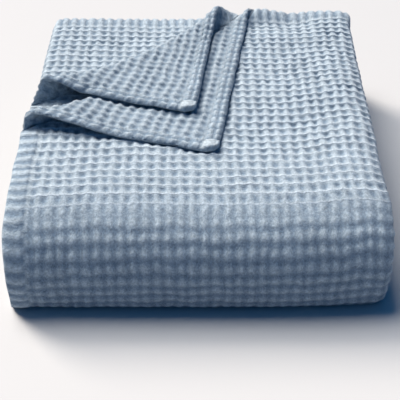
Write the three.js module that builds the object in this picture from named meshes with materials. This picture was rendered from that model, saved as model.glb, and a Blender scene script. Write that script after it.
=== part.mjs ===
// A waffle-weave cotton blanket, folded into a thick square and lying flat.
// One hemmed panel is folded across its width into six plies, and that pack is folded along its
// length into four runs. The front is the rounded bend of the outer run, the right side is a fold,
// and the back left corners of the two top plies are turned back over the top.
// Millimetres: X to the right, Y to the back, Z up, the origin under the middle on the floor.

import * as THREE from 'three';

// Folded size
const WIDTH = 380;
const DEPTH = 447;
const STACK = 109;
const PLIES = 6;
const RUNS = 4;

// Cloth
const SHEET = 3;
const HEM_WIDTH = 20;
const HEM_EXTRA = 0.3;
const COLOUR = '#8fa9c2';

// Front roll: how far it reaches past the flat top, its rounded heel near the floor, and how full
// its curve is (2 would be an ellipse)
const ROLL_REACH = 118;
const NOSE_HEIGHT = 36;
const HEEL_DEPTH = 18;
const ROLL_POWER = 2.5;

// Side folds: where the outside of each fold lies, from the middle, and how full its bend is
const RIGHT_FOLD = 189;
const HALF_FOLD = 185;
const LEFT_FOLD = 188.5;
const TOP_HEM = 190;
const SECOND_HEM = 188;
const FOLD_FULLNESS = 1.3;

// Soft unevenness of the whole stack
const SHOULDER_WIDTH = 38;
const SHOULDER_DROP_RIGHT = 8;
const SHOULDER_DROP_BACK = 2;
const SHOULDER_TURN = 20;
const SHOULDER_DROP_LEFT = 1.5;
const FLOOR_TUCK = 0.005;
const RIGHT_TAPER = 2;
const BACK_TUCK = 4;
const BACK_TUCK_LENGTH = 35;
const BOW_RIGHT = 8;
const BOW_LEFT = 1;

// How far the pack wanders sideways past the top run, and the share of its way at the end of the
// front roll, the floor run, the back bend, the inner floor run, the inner roll and the inner top
const RUN_SHIFT = 2.5;
const RUN_SHARES = [0, 0.29, 0.37, 0.54, 0.63, 0.89, 1];

// The back edge is lifted where the corners are turned
const LIFT = 4;
const LIFT_MIDDLE = 66;
const LIFT_HALF_WIDTH = 55;
const LIFT_DEPTH = 45;

// Turned-back corners. Columns with three values are read at the left hem, in the middle of the
// turned edge and at the back hem. A loop's rise is half of its height.
const TURNED_CORNERS = [
  { ply: 1, hem: TOP_HEM, leftY: -52, backX: 73, tipX: 19, tipY: -96, bow: 17, restPlies: 1,
    rise: [10.5, 3, 3], reach: [1.5, 4, 4], fall: [105, 40, 40] },
  { ply: 2, hem: SECOND_HEM, leftY: 8, backX: 53, tipX: -5, tipY: -29, bow: 18, restPlies: 3,
    rise: [15, 9, 13], reach: [1, 6, 10], fall: [56, 45, 45] },
];
const CORNER_GAP = 0.6;
const CORNER_SOFTNESS = 2;
const DRAPE_WIDTH = 20;
const LEFT_SHARE = 0.4;
const BACK_SHARE = 0.5;

// How finely the bends are divided; tight and inner ones show less
const BEND_STEPS = 4;
const TIGHT_BEND_STEPS = 3;
const BACK_BEND_STEPS = 4;
const NOSE_STEPS = 6;
const HEEL_STEPS = 4;
const INNER_NOSE_STEPS = 3;
const INNER_HEEL_STEPS = 2;
const FLOOR_STEPS = 2;
const INNER_TOP_STEPS = 2;
const TOP_BACK_STEPS = 5;
const TOP_MIDDLE_STEPS = 3;
const TOP_FRONT_STEPS = 2;
const LOOP_STEPS = 6;
const FALL_STEPS = 5;
const TIP_STEPS = 4;

// Worked-out sizes
const PITCH = STACK / (PLIES * RUNS);
const PACK = PLIES * PITCH;
const MID = STACK / 2;
const BACK = DEPTH / 2;
const ROLL_START = ROLL_REACH - BACK;
const HEEL_START = ROLL_START - ROLL_REACH + HEEL_DEPTH;
const BACK_FOLD = BACK - PACK;
const FLOOR_GAP = (PITCH - SHEET) / 2;

const mix = (a, b, share) => a + (b - a) * share;
const clamp = (value, low, high) => Math.min(Math.max(value, low), high);
const plyDepth = (ply) => (ply - 0.5) * PITCH;
const evenSteps = (count) => Array.from({ length: count }, (_, k) => (k + 1) / count);

// Falls softly from 1 to 0 while its share goes from 0 to 1.
const smoothFall = (share) => {
  const t = clamp(share, 0, 1);
  return (1 - t) ** 2 * (1 + 2 * t);
};

// Section across the width

const foldAxis = (reach, plies) => reach - SHEET / 2 - FOLD_FULLNESS * plies * PITCH / 2;
const RIGHT_AXIS = foldAxis(RIGHT_FOLD, 3);
const LEFT_AXIS = -foldAxis(LEFT_FOLD, 3);
const HALF_AXIS = foldAxis(HALF_FOLD, 1);

// A row for each ply in the order the cloth runs: which side it heads to, the axis of the fold
// there, the ply that the fold leads to, how many flat steps it has, and how far its end stops
// short at the back.
const CLOTH_RUN = [
  { ply: 1, side: 1, axis: RIGHT_AXIS, next: 4, steps: 5, short: 0 },
  { ply: 4, side: -1, axis: LEFT_AXIS, next: 5, steps: 2, short: 5 },
  { ply: 5, side: 1, axis: HALF_AXIS, next: 6, steps: 2, short: 2 },
  { ply: 6, side: -1, axis: LEFT_AXIS, next: 3, steps: 2, short: 6 },
  { ply: 3, side: 1, axis: RIGHT_AXIS, next: 2, steps: 2, short: 1 },
  { ply: 2, side: -1, axis: -SECOND_HEM, next: null, steps: 5, short: 0 },
];

// Each station across the cloth has a place x(edges) and depth in the pack, and the direction of
// its outer face. The free edges of plies 1 and 2 follow the turned corners, row by row.
function clothStations() {
  const stations = [];
  let startAxis = -TOP_HEM;
  CLOTH_RUN.forEach((run, order) => {
    const from = startAxis;
    const flat = (share) => (edges) => {
      const begin = order === 0 ? edges.top : from;
      const end = run.next === null ? edges.second : run.axis;
      return mix(begin, end, share);
    };
    const hemShare = HEM_WIDTH / WIDTH;
    let shares = [0, ...evenSteps(run.steps)];
    if (order === 0) shares = [0, hemShare, ...evenSteps(run.steps)];
    if (run.next === null) shares = [0, ...evenSteps(run.steps).slice(0, -1), 1 - hemShare, 1];
    if (order > 0) shares = shares.slice(1);
    for (const share of shares) {
      const hemmed = (order === 0 && share <= hemShare) || (run.next === null && share >= 1 - hemShare);
      stations.push({
        x: flat(share), depth: plyDepth(run.ply), nx: 0, nd: -run.side, short: run.short, hemmed,
      });
    }
    if (run.next !== null) {
      const nextShort = CLOTH_RUN.find((other) => other.ply === run.next).short;
      const turn = Math.sign(run.next - run.ply);
      const plies = Math.abs(run.next - run.ply);
      const radius = plies * PITCH / 2;
      const centre = (plyDepth(run.ply) + plyDepth(run.next)) / 2;
      for (const share of evenSteps(plies > 1 ? BEND_STEPS : TIGHT_BEND_STEPS)) {
        const angle = Math.PI * share;
        const acrossRate = run.side * FOLD_FULLNESS * Math.cos(angle);
        const depthRate = turn * Math.sin(angle);
        const length = Math.hypot(acrossRate, depthRate);
        const place = run.axis + run.side * FOLD_FULLNESS * radius * Math.sin(angle);
        stations.push({
          x: () => place,
          depth: centre - turn * radius * Math.cos(angle),
          nx: depthRate / length,
          nd: -acrossRate / length,
          short: mix(run.short, nextShort, share),
          hemmed: false,
        });
      }
    }
    startAxis = run.axis;
  });
  return stations;
}

// Section along the length

// The outer front of the stack at an angle from 0 (top) through a quarter turn (nose) to a half
// turn (floor), as reach past the flat top and height above the middle.
function rollPoint(angle) {
  const out = Math.abs(Math.sin(angle)) ** (2 / ROLL_POWER);
  const up = Math.abs(Math.cos(angle)) ** (2 / ROLL_POWER);
  if (angle <= Math.PI / 2) {
    return { reach: ROLL_REACH * out, height: NOSE_HEIGHT + (STACK - NOSE_HEIGHT) * up - MID };
  }
  return { reach: ROLL_REACH - HEEL_DEPTH * (1 - out), height: NOSE_HEIGHT * (1 - up) - MID };
}

// How much wider than on the flat top the plies are spaced at that angle.
function rollSpacing(angle) {
  const step = 0.01;
  const before = rollPoint(Math.max(angle - step, 0));
  const after = rollPoint(Math.min(angle + step, Math.PI));
  const here = rollPoint(angle);
  const alongReach = after.reach - before.reach;
  const alongHeight = after.height - before.height;
  const cross = here.reach * alongHeight - here.height * alongReach;
  return Math.abs(cross) / Math.hypot(alongReach, alongHeight) / (2 * PACK);
}

// Rows down the length of the cloth. Each gives y and z for a depth in the pack, the spacing of
// the plies there, how far the pack wanders sideways, and on the top run its y, where the corners
// are turned back.
function lengthRows() {
  const outerScale = (depth) => 1 - depth / (2 * PACK);
  const innerScale = (depth) => depth / (2 * PACK);
  const shorten = (y, short) => ROLL_START + (y - ROLL_START) * (1 - short / (BACK - ROLL_START));
  const rollAngles = (noseSteps, heelSteps) => [
    ...evenSteps(noseSteps).map((share) => share * Math.PI / 2),
    ...evenSteps(heelSteps).map((share) => (1 + share) * Math.PI / 2),
  ];
  const [first, second] = TURNED_CORNERS;
  const topPlaces = [
    BACK, BACK - HEM_WIDTH,
    ...evenSteps(TOP_BACK_STEPS).map((share) => mix(BACK - HEM_WIDTH, second.leftY, share)),
    ...evenSteps(TOP_MIDDLE_STEPS).map((share) => mix(second.leftY, first.leftY, share)),
    ...evenSteps(TOP_FRONT_STEPS).map((share) => mix(first.leftY, ROLL_START, share)),
  ];
  const rows = [];
  for (const y of topPlaces) {
    rows.push({
      at: (depth, short) => [shorten(y, short), MID + MID * outerScale(depth)],
      spacing: 1, shift: 0, topY: y, hemmed: y >= BACK - HEM_WIDTH,
    });
  }
  const addRow = (run, share, spacing, at) => {
    const gone = mix(RUN_SHARES[run], RUN_SHARES[run + 1], share);
    rows.push({ at, spacing, shift: RUN_SHIFT * Math.sin(3 * Math.PI * gone) });
  };
  const addRoll = (run, angles, scale) => angles.forEach((angle, k) => {
    const { reach, height } = rollPoint(angle);
    addRow(run, (k + 1) / angles.length, rollSpacing(angle), (depth) => [
      ROLL_START - reach * scale(depth), MID + height * scale(depth),
    ]);
  });
  const addFloor = (run, toFront, scale) => evenSteps(FLOOR_STEPS).forEach((share) => {
    const place = toFront ? 1 - share : share;
    addRow(run, share, 1, (depth) => [
      mix(mix(ROLL_START, HEEL_START, scale(depth)), BACK_FOLD, place), MID - MID * scale(depth),
    ]);
  });
  addRoll(0, rollAngles(NOSE_STEPS, HEEL_STEPS), outerScale);
  addFloor(1, false, outerScale);
  evenSteps(BACK_BEND_STEPS).forEach((share) => {
    const angle = Math.PI * share;
    addRow(2, share, 1, (depth) => [
      BACK_FOLD + (PACK - depth) * Math.sin(angle), PACK - (PACK - depth) * Math.cos(angle),
    ]);
  });
  addFloor(3, true, innerScale);
  addRoll(4, rollAngles(INNER_NOSE_STEPS, INNER_HEEL_STEPS).reverse().slice(1), innerScale);
  [0, ...evenSteps(INNER_TOP_STEPS)].forEach((share) => addRow(5, share, 1, (depth, short) => [
    shorten(mix(ROLL_START, BACK, share), short + HEM_WIDTH / 2), MID + MID * innerScale(depth),
  ]));
  return rows;
}

// Soft unevenness: shoulders drop towards both sides, less so at the back, the lower plies and the
// back left corner tuck in, the right side tapers to the front, the ends of the front roll draw
// back, and the back edge lifts.
function settle(x, y, z) {
  const inner = WIDTH / 2 - SHOULDER_WIDTH;
  const right = clamp((x - inner) / SHOULDER_WIDTH, 0, 1.2) ** 2;
  const left = clamp((-x - inner) / SHOULDER_WIDTH, 0, 1.2) ** 2;
  const frontness = smoothFall((y - SHOULDER_TURN) / (BACK - SHOULDER_TURN));
  const rightDrop = mix(SHOULDER_DROP_BACK, SHOULDER_DROP_RIGHT, frontness);
  const drop = (rightDrop * right + SHOULDER_DROP_LEFT * left) / STACK;
  const level = z / STACK;
  const raised = clamp(level, 0, 1.3);
  const side = x / (WIDTH / 2);
  const bow = (side > 0 ? BOW_RIGHT : BOW_LEFT) * Math.abs(side) ** 3;
  const tuck = BACK_TUCK * left * smoothFall((BACK - y) / BACK_TUCK_LENGTH);
  const taper = RIGHT_TAPER * Math.max(side, 0) * y / BACK;
  const lift = LIFT * smoothFall(Math.abs(x - LIFT_MIDDLE) / LIFT_HALF_WIDTH)
    * smoothFall((BACK - y) / LIFT_DEPTH);
  return new THREE.Vector3(
    x * (1 - FLOOR_TUCK * clamp(1 - level, 0, 1) ** 2) + tuck + taper,
    y + bow * clamp((ROLL_START - y) / ROLL_REACH, 0, 1),
    z * (1 - drop * raised) + lift * raised ** 4 - FLOOR_GAP,
  );
}

// Turned corners

// A column of three values at a share along the turned edge, from the left hem to the back hem.
function along(values, share) {
  const left = clamp(1 - share / LEFT_SHARE, 0, 1) ** 2;
  const back = clamp((share + BACK_SHARE - 1) / BACK_SHARE, 0, 1) ** 2;
  return values[0] * left + values[2] * back + values[1] * (1 - left - back);
}

// The straight line between the two ends of a turned edge, its length and its two directions.
function cornerFrame(corner) {
  const start = new THREE.Vector2(-corner.hem, corner.leftY);
  const line = new THREE.Vector2(corner.backX, BACK).sub(start);
  const length = line.length();
  const edge = line.clone().normalize();
  const inward = new THREE.Vector2(edge.y, -edge.x);
  const tip = new THREE.Vector2(corner.tipX, corner.tipY).sub(start);
  return { start, length, edge, inward, tipAlong: tip.dot(edge), tipIn: tip.dot(inward) };
}

const bowAt = (corner, share) => corner.bow * 4 * share * (1 - share);

function cornerPoint(frame, distance, inset) {
  return frame.start.clone().addScaledVector(frame.edge, distance).addScaledVector(frame.inward, inset);
}

// The share along the turned edge that lies at a given y.
function shareAt(corner, frame, y) {
  let low = 0;
  let high = 1;
  for (let step = 0; step < 40; step += 1) {
    const share = (low + high) / 2;
    const point = cornerPoint(frame, share * frame.length, bowAt(corner, share));
    if (point.y < y) low = share;
    else high = share;
  }
  return (low + high) / 2;
}

// The free left edge of a ply on the top run at a given y.
function freeEdge(corner, y) {
  if (y === undefined || y <= corner.leftY) return -corner.hem;
  const frame = cornerFrame(corner);
  const share = shareAt(corner, frame, y);
  return cornerPoint(frame, share * frame.length, bowAt(corner, share)).x;
}

// Height over its own ply that a turned corner holds up whatever drapes over it, at a point in plan.
function upperSide(corner, x, y) {
  const frame = cornerFrame(corner);
  const offset = new THREE.Vector2(x, y).sub(frame.start);
  const share = clamp(offset.dot(frame.edge) / frame.length, 0, 1);
  const inset = offset.dot(frame.inward) - bowAt(corner, share);
  const rise = along(corner.rise, share);
  const rest = corner.restPlies * PITCH;
  if (inset < 0) return 2 * rise * smoothFall(-inset / DRAPE_WIDTH);
  return rest + (2 * rise - rest) * smoothFall(inset / along(corner.fall, share));
}

// Mid-surface of a turned corner, a list of rows from its fold line to its tip. Each row has a
// point for each share; the cloth loops outwards and up, falls, and lies flat up to the tip.
function cornerRows(corner, shares, below) {
  const frame = cornerFrame(corner);
  const base = STACK - plyDepth(corner.ply);
  const rest = corner.restPlies * PITCH;
  const columns = shares.map((share) => {
    const rise = along(corner.rise, share);
    const reach = along(corner.reach, share);
    const fall = along(corner.fall, share);
    const bow = bowAt(corner, share);
    const section = [0, ...evenSteps(LOOP_STEPS)].map((step) => ({
      inset: -reach * Math.sin(Math.PI * step),
      height: rise * (1 - Math.cos(Math.PI * step)),
    }));
    evenSteps(FALL_STEPS).forEach((step) => section.push({
      inset: fall * step,
      height: rest + (2 * rise - rest) * smoothFall(step),
    }));
    evenSteps(TIP_STEPS).forEach((step) => section.push({
      inset: mix(fall, frame.tipIn - bow, step),
      height: rest,
    }));
    let run = 0;
    const lengths = section.map((point, k) => {
      if (k > 0) run += Math.hypot(point.inset - section[k - 1].inset, point.height - section[k - 1].height);
      return run;
    });
    return section.map((point, k) => {
      const gone = lengths[k] / run;
      const plan = cornerPoint(
        frame,
        mix(share * frame.length, frame.tipAlong, gone),
        point.inset + bow,
      );
      let height = base + point.height;
      if (below && k > LOOP_STEPS / 2) {
        const clear = STACK - plyDepth(below.ply) + upperSide(below, plan.x, plan.y) + PITCH + CORNER_GAP;
        height = (height + clear + Math.hypot(height - clear, CORNER_SOFTNESS)) / 2;
      }
      return settle(plan.x, plan.y, height);
    });
  });
  return columns[0].map((_, k) => columns.map((column) => column[k]));
}

// Cloth as a solid

// A node holds the points of both faces of the cloth, half a sheet to each side of its middle.
function flatNode(station, row, edges) {
  const half = SHEET / 2;
  const backHalf = half + (station.hemmed || row.hemmed ? HEM_EXTRA : 0);
  const point = (offset) => {
    const [y, z] = row.at(station.depth + offset * station.nd / row.spacing, station.short);
    return settle(station.x(edges) + row.shift + offset * station.nx, y, z);
  };
  return { outer: point(half), inner: point(-backHalf) };
}

function offsetNode(point, normal, hemmed) {
  const half = SHEET / 2;
  const backHalf = half + (hemmed ? HEM_EXTRA : 0);
  return {
    outer: point.clone().addScaledVector(normal, half),
    inner: point.clone().addScaledVector(normal, -backHalf),
  };
}

// Nodes of a turned corner, joined on to the nodes of its fold line. The last row is the tip alone.
function cornerNodes(rows, foldLine, facing) {
  const lastRow = rows.length - 1;
  const lastColumn = foldLine.length - 1;
  const normalAt = (k, j) => {
    const alongEdge = rows[k][Math.min(j + 1, lastColumn)].clone().sub(rows[k][Math.max(j - 1, 0)]);
    const outwards = rows[k + 1][j].clone().sub(rows[k - 1][j]);
    return alongEdge.cross(outwards).normalize().multiplyScalar(facing);
  };
  const grid = [foldLine];
  for (let k = 1; k < lastRow; k += 1) {
    grid.push(rows[k].map((point, j) => offsetNode(point, normalAt(k, j), j === 0 || j === lastColumn)));
  }
  const tip = offsetNode(rows[lastRow][0], new THREE.Vector3(0, 0, -facing), true);
  grid.push(foldLine.map(() => tip));
  return grid;
}

// Joins grids of nodes into one closed solid: both faces, and a rim along every free edge.
function clothSolid(grids) {
  const numbers = new Map();
  const positions = [];
  const indexOf = (point) => {
    if (!numbers.has(point)) {
      numbers.set(point, positions.length / 3);
      positions.push(point.x, point.y, point.z);
    }
    return numbers.get(point);
  };
  const triangles = [];
  const freeEdges = new Map();
  const addTriangle = (a, b, c) => {
    triangles.push([a.outer, b.outer, c.outer], [a.inner, c.inner, b.inner]);
    for (const [from, to] of [[a, b], [b, c], [c, a]]) {
      const reverse = `${indexOf(to.outer)} ${indexOf(from.outer)}`;
      if (freeEdges.has(reverse)) freeEdges.delete(reverse);
      else freeEdges.set(`${indexOf(from.outer)} ${indexOf(to.outer)}`, [from, to]);
    }
  };
  for (const { nodes, flip } of grids) {
    for (let k = 0; k + 1 < nodes.length; k += 1) {
      for (let j = 0; j + 1 < nodes[k].length; j += 1) {
        const quad = [nodes[k][j], nodes[k][j + 1], nodes[k + 1][j + 1], nodes[k + 1][j]];
        if (flip) quad.reverse();
        for (const [a, b, c] of [[quad[0], quad[1], quad[2]], [quad[0], quad[2], quad[3]]]) {
          if (a !== b && b !== c && c !== a) addTriangle(a, b, c);
        }
      }
    }
  }
  for (const [from, to] of freeEdges.values()) {
    triangles.push([to.outer, from.outer, from.inner], [to.outer, from.inner, to.inner]);
  }
  const geometry = new THREE.BufferGeometry();
  const index = triangles.flat().map(indexOf);
  geometry.setAttribute('position', new THREE.Float32BufferAttribute(positions, 3));
  geometry.setIndex(index);
  geometry.computeBoundingBox();
  const { min, max } = geometry.boundingBox;
  geometry.translate(-(min.x + max.x) / 2, -(min.y + max.y) / 2, -min.z);
  geometry.computeVertexNormals();
  return geometry;
}

function blanketGeometry() {
  const stations = clothStations();
  const rows = lengthRows();
  const [first, second] = TURNED_CORNERS;
  const nodes = rows.map((row) => {
    const edges = { top: freeEdge(first, row.topY), second: freeEdge(second, row.topY) };
    return stations.map((station) => flatNode(station, row, edges));
  });
  const grids = [{ nodes, flip: true }];
  TURNED_CORNERS.forEach((corner, order) => {
    const frame = cornerFrame(corner);
    const column = order === 0 ? 0 : stations.length - 1;
    const foldRows = rows.map((row, k) => k).filter((k) => rows[k].topY >= corner.leftY).reverse();
    const foldLine = foldRows.map((k) => nodes[k][column]);
    const shares = foldRows.map((k) => shareAt(corner, frame, rows[k].topY));
    const below = order === 0 ? null : TURNED_CORNERS[order - 1];
    const facing = order === 0 ? 1 : -1;
    const corners = cornerNodes(cornerRows(corner, shares, below), foldLine, facing);
    grids.push({ nodes: corners, flip: order > 0 });
  });
  return clothSolid(grids);
}

const cotton = new THREE.MeshStandardMaterial({ color: COLOUR, roughness: 0.95, metalness: 0 });
const blanket = new THREE.Mesh(blanketGeometry(), cotton);
blanket.name = 'blanket';

const group = new THREE.Group();
group.add(blanket);

export default group;
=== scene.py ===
# %% [markdown]
# # A folded waffle-weave blanket
# One hemmed cotton panel is folded across its width into six plies, and that pack is folded along its
# length into four runs. The frame holds the folded cloth as one plain solid. Here the same fold map is
# drawn again with a much finer sheet, so the weave can follow the cloth through every fold.

# %% Frame
import math
import bmesh
import bpy
import numpy as np
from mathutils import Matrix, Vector


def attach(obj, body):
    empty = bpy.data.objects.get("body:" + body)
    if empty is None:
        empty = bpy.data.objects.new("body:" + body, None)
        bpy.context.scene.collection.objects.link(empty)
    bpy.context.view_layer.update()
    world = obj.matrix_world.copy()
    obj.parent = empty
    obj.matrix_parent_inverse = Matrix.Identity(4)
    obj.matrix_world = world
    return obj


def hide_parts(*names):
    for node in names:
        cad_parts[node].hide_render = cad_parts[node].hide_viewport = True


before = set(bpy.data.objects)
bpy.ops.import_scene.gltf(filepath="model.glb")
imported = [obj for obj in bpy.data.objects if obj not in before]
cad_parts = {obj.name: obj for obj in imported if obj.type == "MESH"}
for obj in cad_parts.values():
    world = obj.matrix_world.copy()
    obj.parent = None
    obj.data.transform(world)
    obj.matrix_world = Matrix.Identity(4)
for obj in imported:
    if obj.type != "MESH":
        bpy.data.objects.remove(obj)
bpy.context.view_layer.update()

MM = 0.001

# %% [markdown]
# ## Camera
# The picture looks down on the front of the stack. A long lens and a steep pitch keep the sides of the
# stack nearly upright, so the camera is set first and everything after it is judged through it.

# %% Camera
CAMERA_PLACE = Vector((0.0004, -0.9221, 0.689))
CAMERA_PITCH = math.radians(37.8)
CAMERA_LENS = 88.2
SENSOR_WIDTH = 36.0


def add_object(name, data):
    """Puts a new object into the scene."""
    made = bpy.data.objects.new(name, data)
    bpy.context.scene.collection.objects.link(made)
    return made


lens = bpy.data.cameras.new("photo_camera")
lens.lens = CAMERA_LENS
lens.sensor_width = SENSOR_WIDTH
camera = add_object("photo_camera", lens)
camera.location = CAMERA_PLACE
camera.rotation_euler = (math.pi / 2 - CAMERA_PITCH, 0, 0)
bpy.context.scene.camera = camera
print("camera at", tuple(CAMERA_PLACE), "pitch", round(math.degrees(CAMERA_PITCH), 1))

# %% [markdown]
# ## Sizes of the folded cloth
# These are the sizes that the solid was made from, in millimetres. The sheet is drawn from the same
# numbers, so it lies exactly on the folds of the solid and nothing has to be fitted.

# %% Sizes
WIDTH = 380
DEPTH = 447
STACK = 109
PLIES = 6
RUNS = 4
SHEET = 3
HEM_WIDTH = 20
ROLL_REACH = 118
NOSE_HEIGHT = 36
HEEL_DEPTH = 18
ROLL_POWER = 2.5
RIGHT_FOLD = 189
HALF_FOLD = 185
LEFT_FOLD = 188.5
TOP_HEM = 190
SECOND_HEM = 188
FOLD_FULLNESS = 1.3
SHOULDER_WIDTH = 38
SHOULDER_DROP_RIGHT = 8
SHOULDER_DROP_BACK = 2
SHOULDER_TURN = 20
SHOULDER_DROP_LEFT = 1.5
FLOOR_TUCK = 0.005
RIGHT_TAPER = 2
BACK_TUCK = 4
BACK_TUCK_LENGTH = 35
BOW_RIGHT = 8
BOW_LEFT = 1
RUN_SHIFT = 2.5
LIFT = 4
LIFT_MIDDLE = 66
LIFT_HALF_WIDTH = 55
LIFT_DEPTH = 45

PITCH = STACK / (PLIES * RUNS)
PACK = PLIES * PITCH
MID = STACK / 2
BACK = DEPTH / 2
ROLL_START = ROLL_REACH - BACK
HEEL_START = ROLL_START - ROLL_REACH + HEEL_DEPTH
BACK_FOLD = BACK - PACK
FLOOR_GAP = (PITCH - SHEET) / 2
HALF_SHEET = SHEET / 2
print("plies are", round(PITCH, 2), "mm apart")

# %% [markdown]
# ## The fold map along the length
# A point of the cloth is found by how far along the cloth it is, and how deep it lies in the pack of
# six plies. The stack's outer bend at the front is a full, rounded nose with a heel below, and each ply
# inside it is a smaller copy, so the plies nest and never cross.

# %% Along the length
ROLL_SAMPLES = 1441


def roll_point(angle):
    """Reach past the flat top and height over the middle, from 0 at the top to pi at the floor."""
    sine = np.abs(np.sin(angle))
    cosine = np.abs(np.cos(angle))
    out = sine ** (2 / ROLL_POWER)
    up = cosine ** (2 / ROLL_POWER)
    upper = angle <= np.pi / 2
    reach = np.where(upper, ROLL_REACH * out, ROLL_REACH - HEEL_DEPTH + HEEL_DEPTH * out)
    height = NOSE_HEIGHT + np.where(upper, STACK - NOSE_HEIGHT, -NOSE_HEIGHT) * up
    return reach, height - MID


ROLL_ANGLES = np.linspace(0, np.pi, ROLL_SAMPLES)
ROLL_REACHES, ROLL_HEIGHTS = roll_point(ROLL_ANGLES)
ROLL_STEPS = np.hypot(np.diff(ROLL_REACHES), np.diff(ROLL_HEIGHTS))
ROLL_ARCS = np.concatenate([[0], np.cumsum(ROLL_STEPS)])
REACH_STEP = np.gradient(ROLL_REACHES)
HEIGHT_STEP = np.gradient(ROLL_HEIGHTS)
ROLL_CROSS = np.abs(ROLL_REACHES * HEIGHT_STEP - ROLL_HEIGHTS * REACH_STEP)
ROLL_SPACING = ROLL_CROSS / np.hypot(REACH_STEP, HEIGHT_STEP) / (2 * PACK)

TOP_RUN = BACK - ROLL_START
FLOOR_RUN = BACK_FOLD - HEEL_START
INNER_FLOOR_RUN = BACK_FOLD - (ROLL_START + HEEL_START) / 2
RUN_LENGTHS = [TOP_RUN, ROLL_ARCS[-1], FLOOR_RUN, np.pi * PACK, INNER_FLOOR_RUN, ROLL_ARCS[-1] / 2, TOP_RUN]
RUN_ENDS = np.cumsum(RUN_LENGTHS)
ROLL_END = RUN_ENDS[1]
CLOTH_END = RUN_ENDS[-1]
SHIFT_SHARES = [0, 0, 0.29, 0.37, 0.54, 0.63, 0.89, 1]


def shorten(y, short):
    return ROLL_START + (y - ROLL_START) * (1 - short / TOP_RUN)


def along_cloth(t, depth, short):
    """y and z of a place t along the cloth, at a depth in the pack."""
    outer = 1 - depth / (2 * PACK)
    inner = depth / (2 * PACK)
    begin = np.concatenate([[0], RUN_ENDS])
    share = [(t - begin[k]) / RUN_LENGTHS[k] for k in range(len(RUN_LENGTHS))]
    angle = np.interp(t - begin[1], ROLL_ARCS, ROLL_ANGLES)
    reach, height = roll_point(angle)
    inner_angle = np.interp((1 - share[5]) * ROLL_ARCS[-1], ROLL_ARCS, ROLL_ANGLES)
    inner_reach, inner_height = roll_point(inner_angle)
    heel = ROLL_START + (HEEL_START - ROLL_START) * outer
    inner_heel = ROLL_START + (HEEL_START - ROLL_START) * inner
    bend = np.pi * share[3]
    runs = [t < end for end in RUN_ENDS[:-1]]
    y = np.select(runs, [
        shorten(BACK - t, short),
        ROLL_START - reach * outer,
        heel + (BACK_FOLD - heel) * share[2],
        BACK_FOLD + (PACK - depth) * np.sin(bend),
        inner_heel + (BACK_FOLD - inner_heel) * (1 - share[4]),
        ROLL_START - inner_reach * inner,
    ], shorten(ROLL_START + TOP_RUN * share[6], short + HEM_WIDTH / 2))
    z = np.select(runs, [
        MID + MID * outer,
        MID + height * outer,
        MID - MID * outer,
        PACK - (PACK - depth) * np.cos(bend),
        MID - MID * inner,
        MID + inner_height * inner,
    ], MID + MID * inner)
    return y, z


def ply_spacing(t):
    """How much wider than on the flat top the plies are spaced there."""
    front = np.interp(t - RUN_ENDS[0], ROLL_ARCS, ROLL_SPACING)
    inside = np.interp((RUN_ENDS[5] - t) * 2, ROLL_ARCS, ROLL_SPACING)
    on_front = (t > RUN_ENDS[0]) & (t < RUN_ENDS[1])
    on_inside = (t > RUN_ENDS[4]) & (t < RUN_ENDS[5])
    return np.where(on_front, front, np.where(on_inside, inside, 1.0))


def sideways_shift(t):
    return RUN_SHIFT * np.sin(3 * np.pi * np.interp(t, [0, *RUN_ENDS], SHIFT_SHARES))


print("cloth length along the fold:", round(CLOTH_END), "mm")

# %% [markdown]
# ## Softness
# Real folded cloth is never flat. Its shoulders drop at the sides, its front draws back at the ends, and
# the whole stack swells and sinks a little. Moving all of space softly, and not each ply by itself, keeps
# the plies from cutting through each other.

# %% Softness
WAVES = 4
WAVE_TURN = 2.4
WAVE_QUICKENING = 0.37
WAVE_LAG = 2.1
SEED_TURN = 1.7
SEED_LAG = 1.3
WAVE_SUM = 2.6


def smooth_fall(share):
    """Falls softly from 1 to 0 while its share goes from 0 to 1."""
    t = np.clip(share, 0, 1)
    return (1 - t) ** 2 * (1 + 2 * t)


def ripple(u, v, seed):
    """A smooth uneven field between about -1 and 1, made of a few waves."""
    total = np.zeros(np.broadcast(u, v).shape)
    for k in range(WAVES):
        heading = WAVE_TURN * k + SEED_TURN * seed
        pace = 1 + WAVE_QUICKENING * k
        way = u * np.cos(heading) + v * np.sin(heading)
        total = total + np.sin(pace * way + SEED_LAG * seed + WAVE_LAG * k)
    return total / WAVE_SUM


# Soft creases on the top: from and to in plan, half width, and how far they sink (or rise, if negative).
CREASES = [
    {"x0": 60, "y0": -60, "x1": 185, "y1": 20, "half_width": 26, "sink": 1.6},
    {"x0": 80, "y0": 90, "x1": 190, "y1": 150, "half_width": 30, "sink": 1.4},
    {"x0": -185, "y0": -110, "x1": -20, "y1": -128, "half_width": 24, "sink": 1.2},
    {"x0": -60, "y0": -70, "x1": 90, "y1": -120, "half_width": 30, "sink": -1.2},
    {"x0": 100, "y0": -20, "x1": 190, "y1": 70, "half_width": 24, "sink": -1.2},
    {"x0": -170, "y0": 60, "x1": -60, "y1": 190, "half_width": 28, "sink": 1.5},
    {"x0": 102, "y0": 226, "x1": 116, "y1": 196, "half_width": 20, "sink": 2.0},
    {"x0": 74, "y0": 194, "x1": 126, "y1": 199, "half_width": 19, "sink": 4.5},
    {"x0": 74, "y0": 220, "x1": 96, "y1": 220, "half_width": 15, "sink": -2.5},
    {"x0": 150, "y0": 224, "x1": 186, "y1": 216, "half_width": 30, "sink": -3.0},
]
SWELL = 1.2
SWELL_LENGTH = 70
SIDE_SWELL = 1.6
SIDE_SWELL_LENGTH = 34
SHOULDER_MOST = 1.2
RAISED_MOST = 1.3


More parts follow.
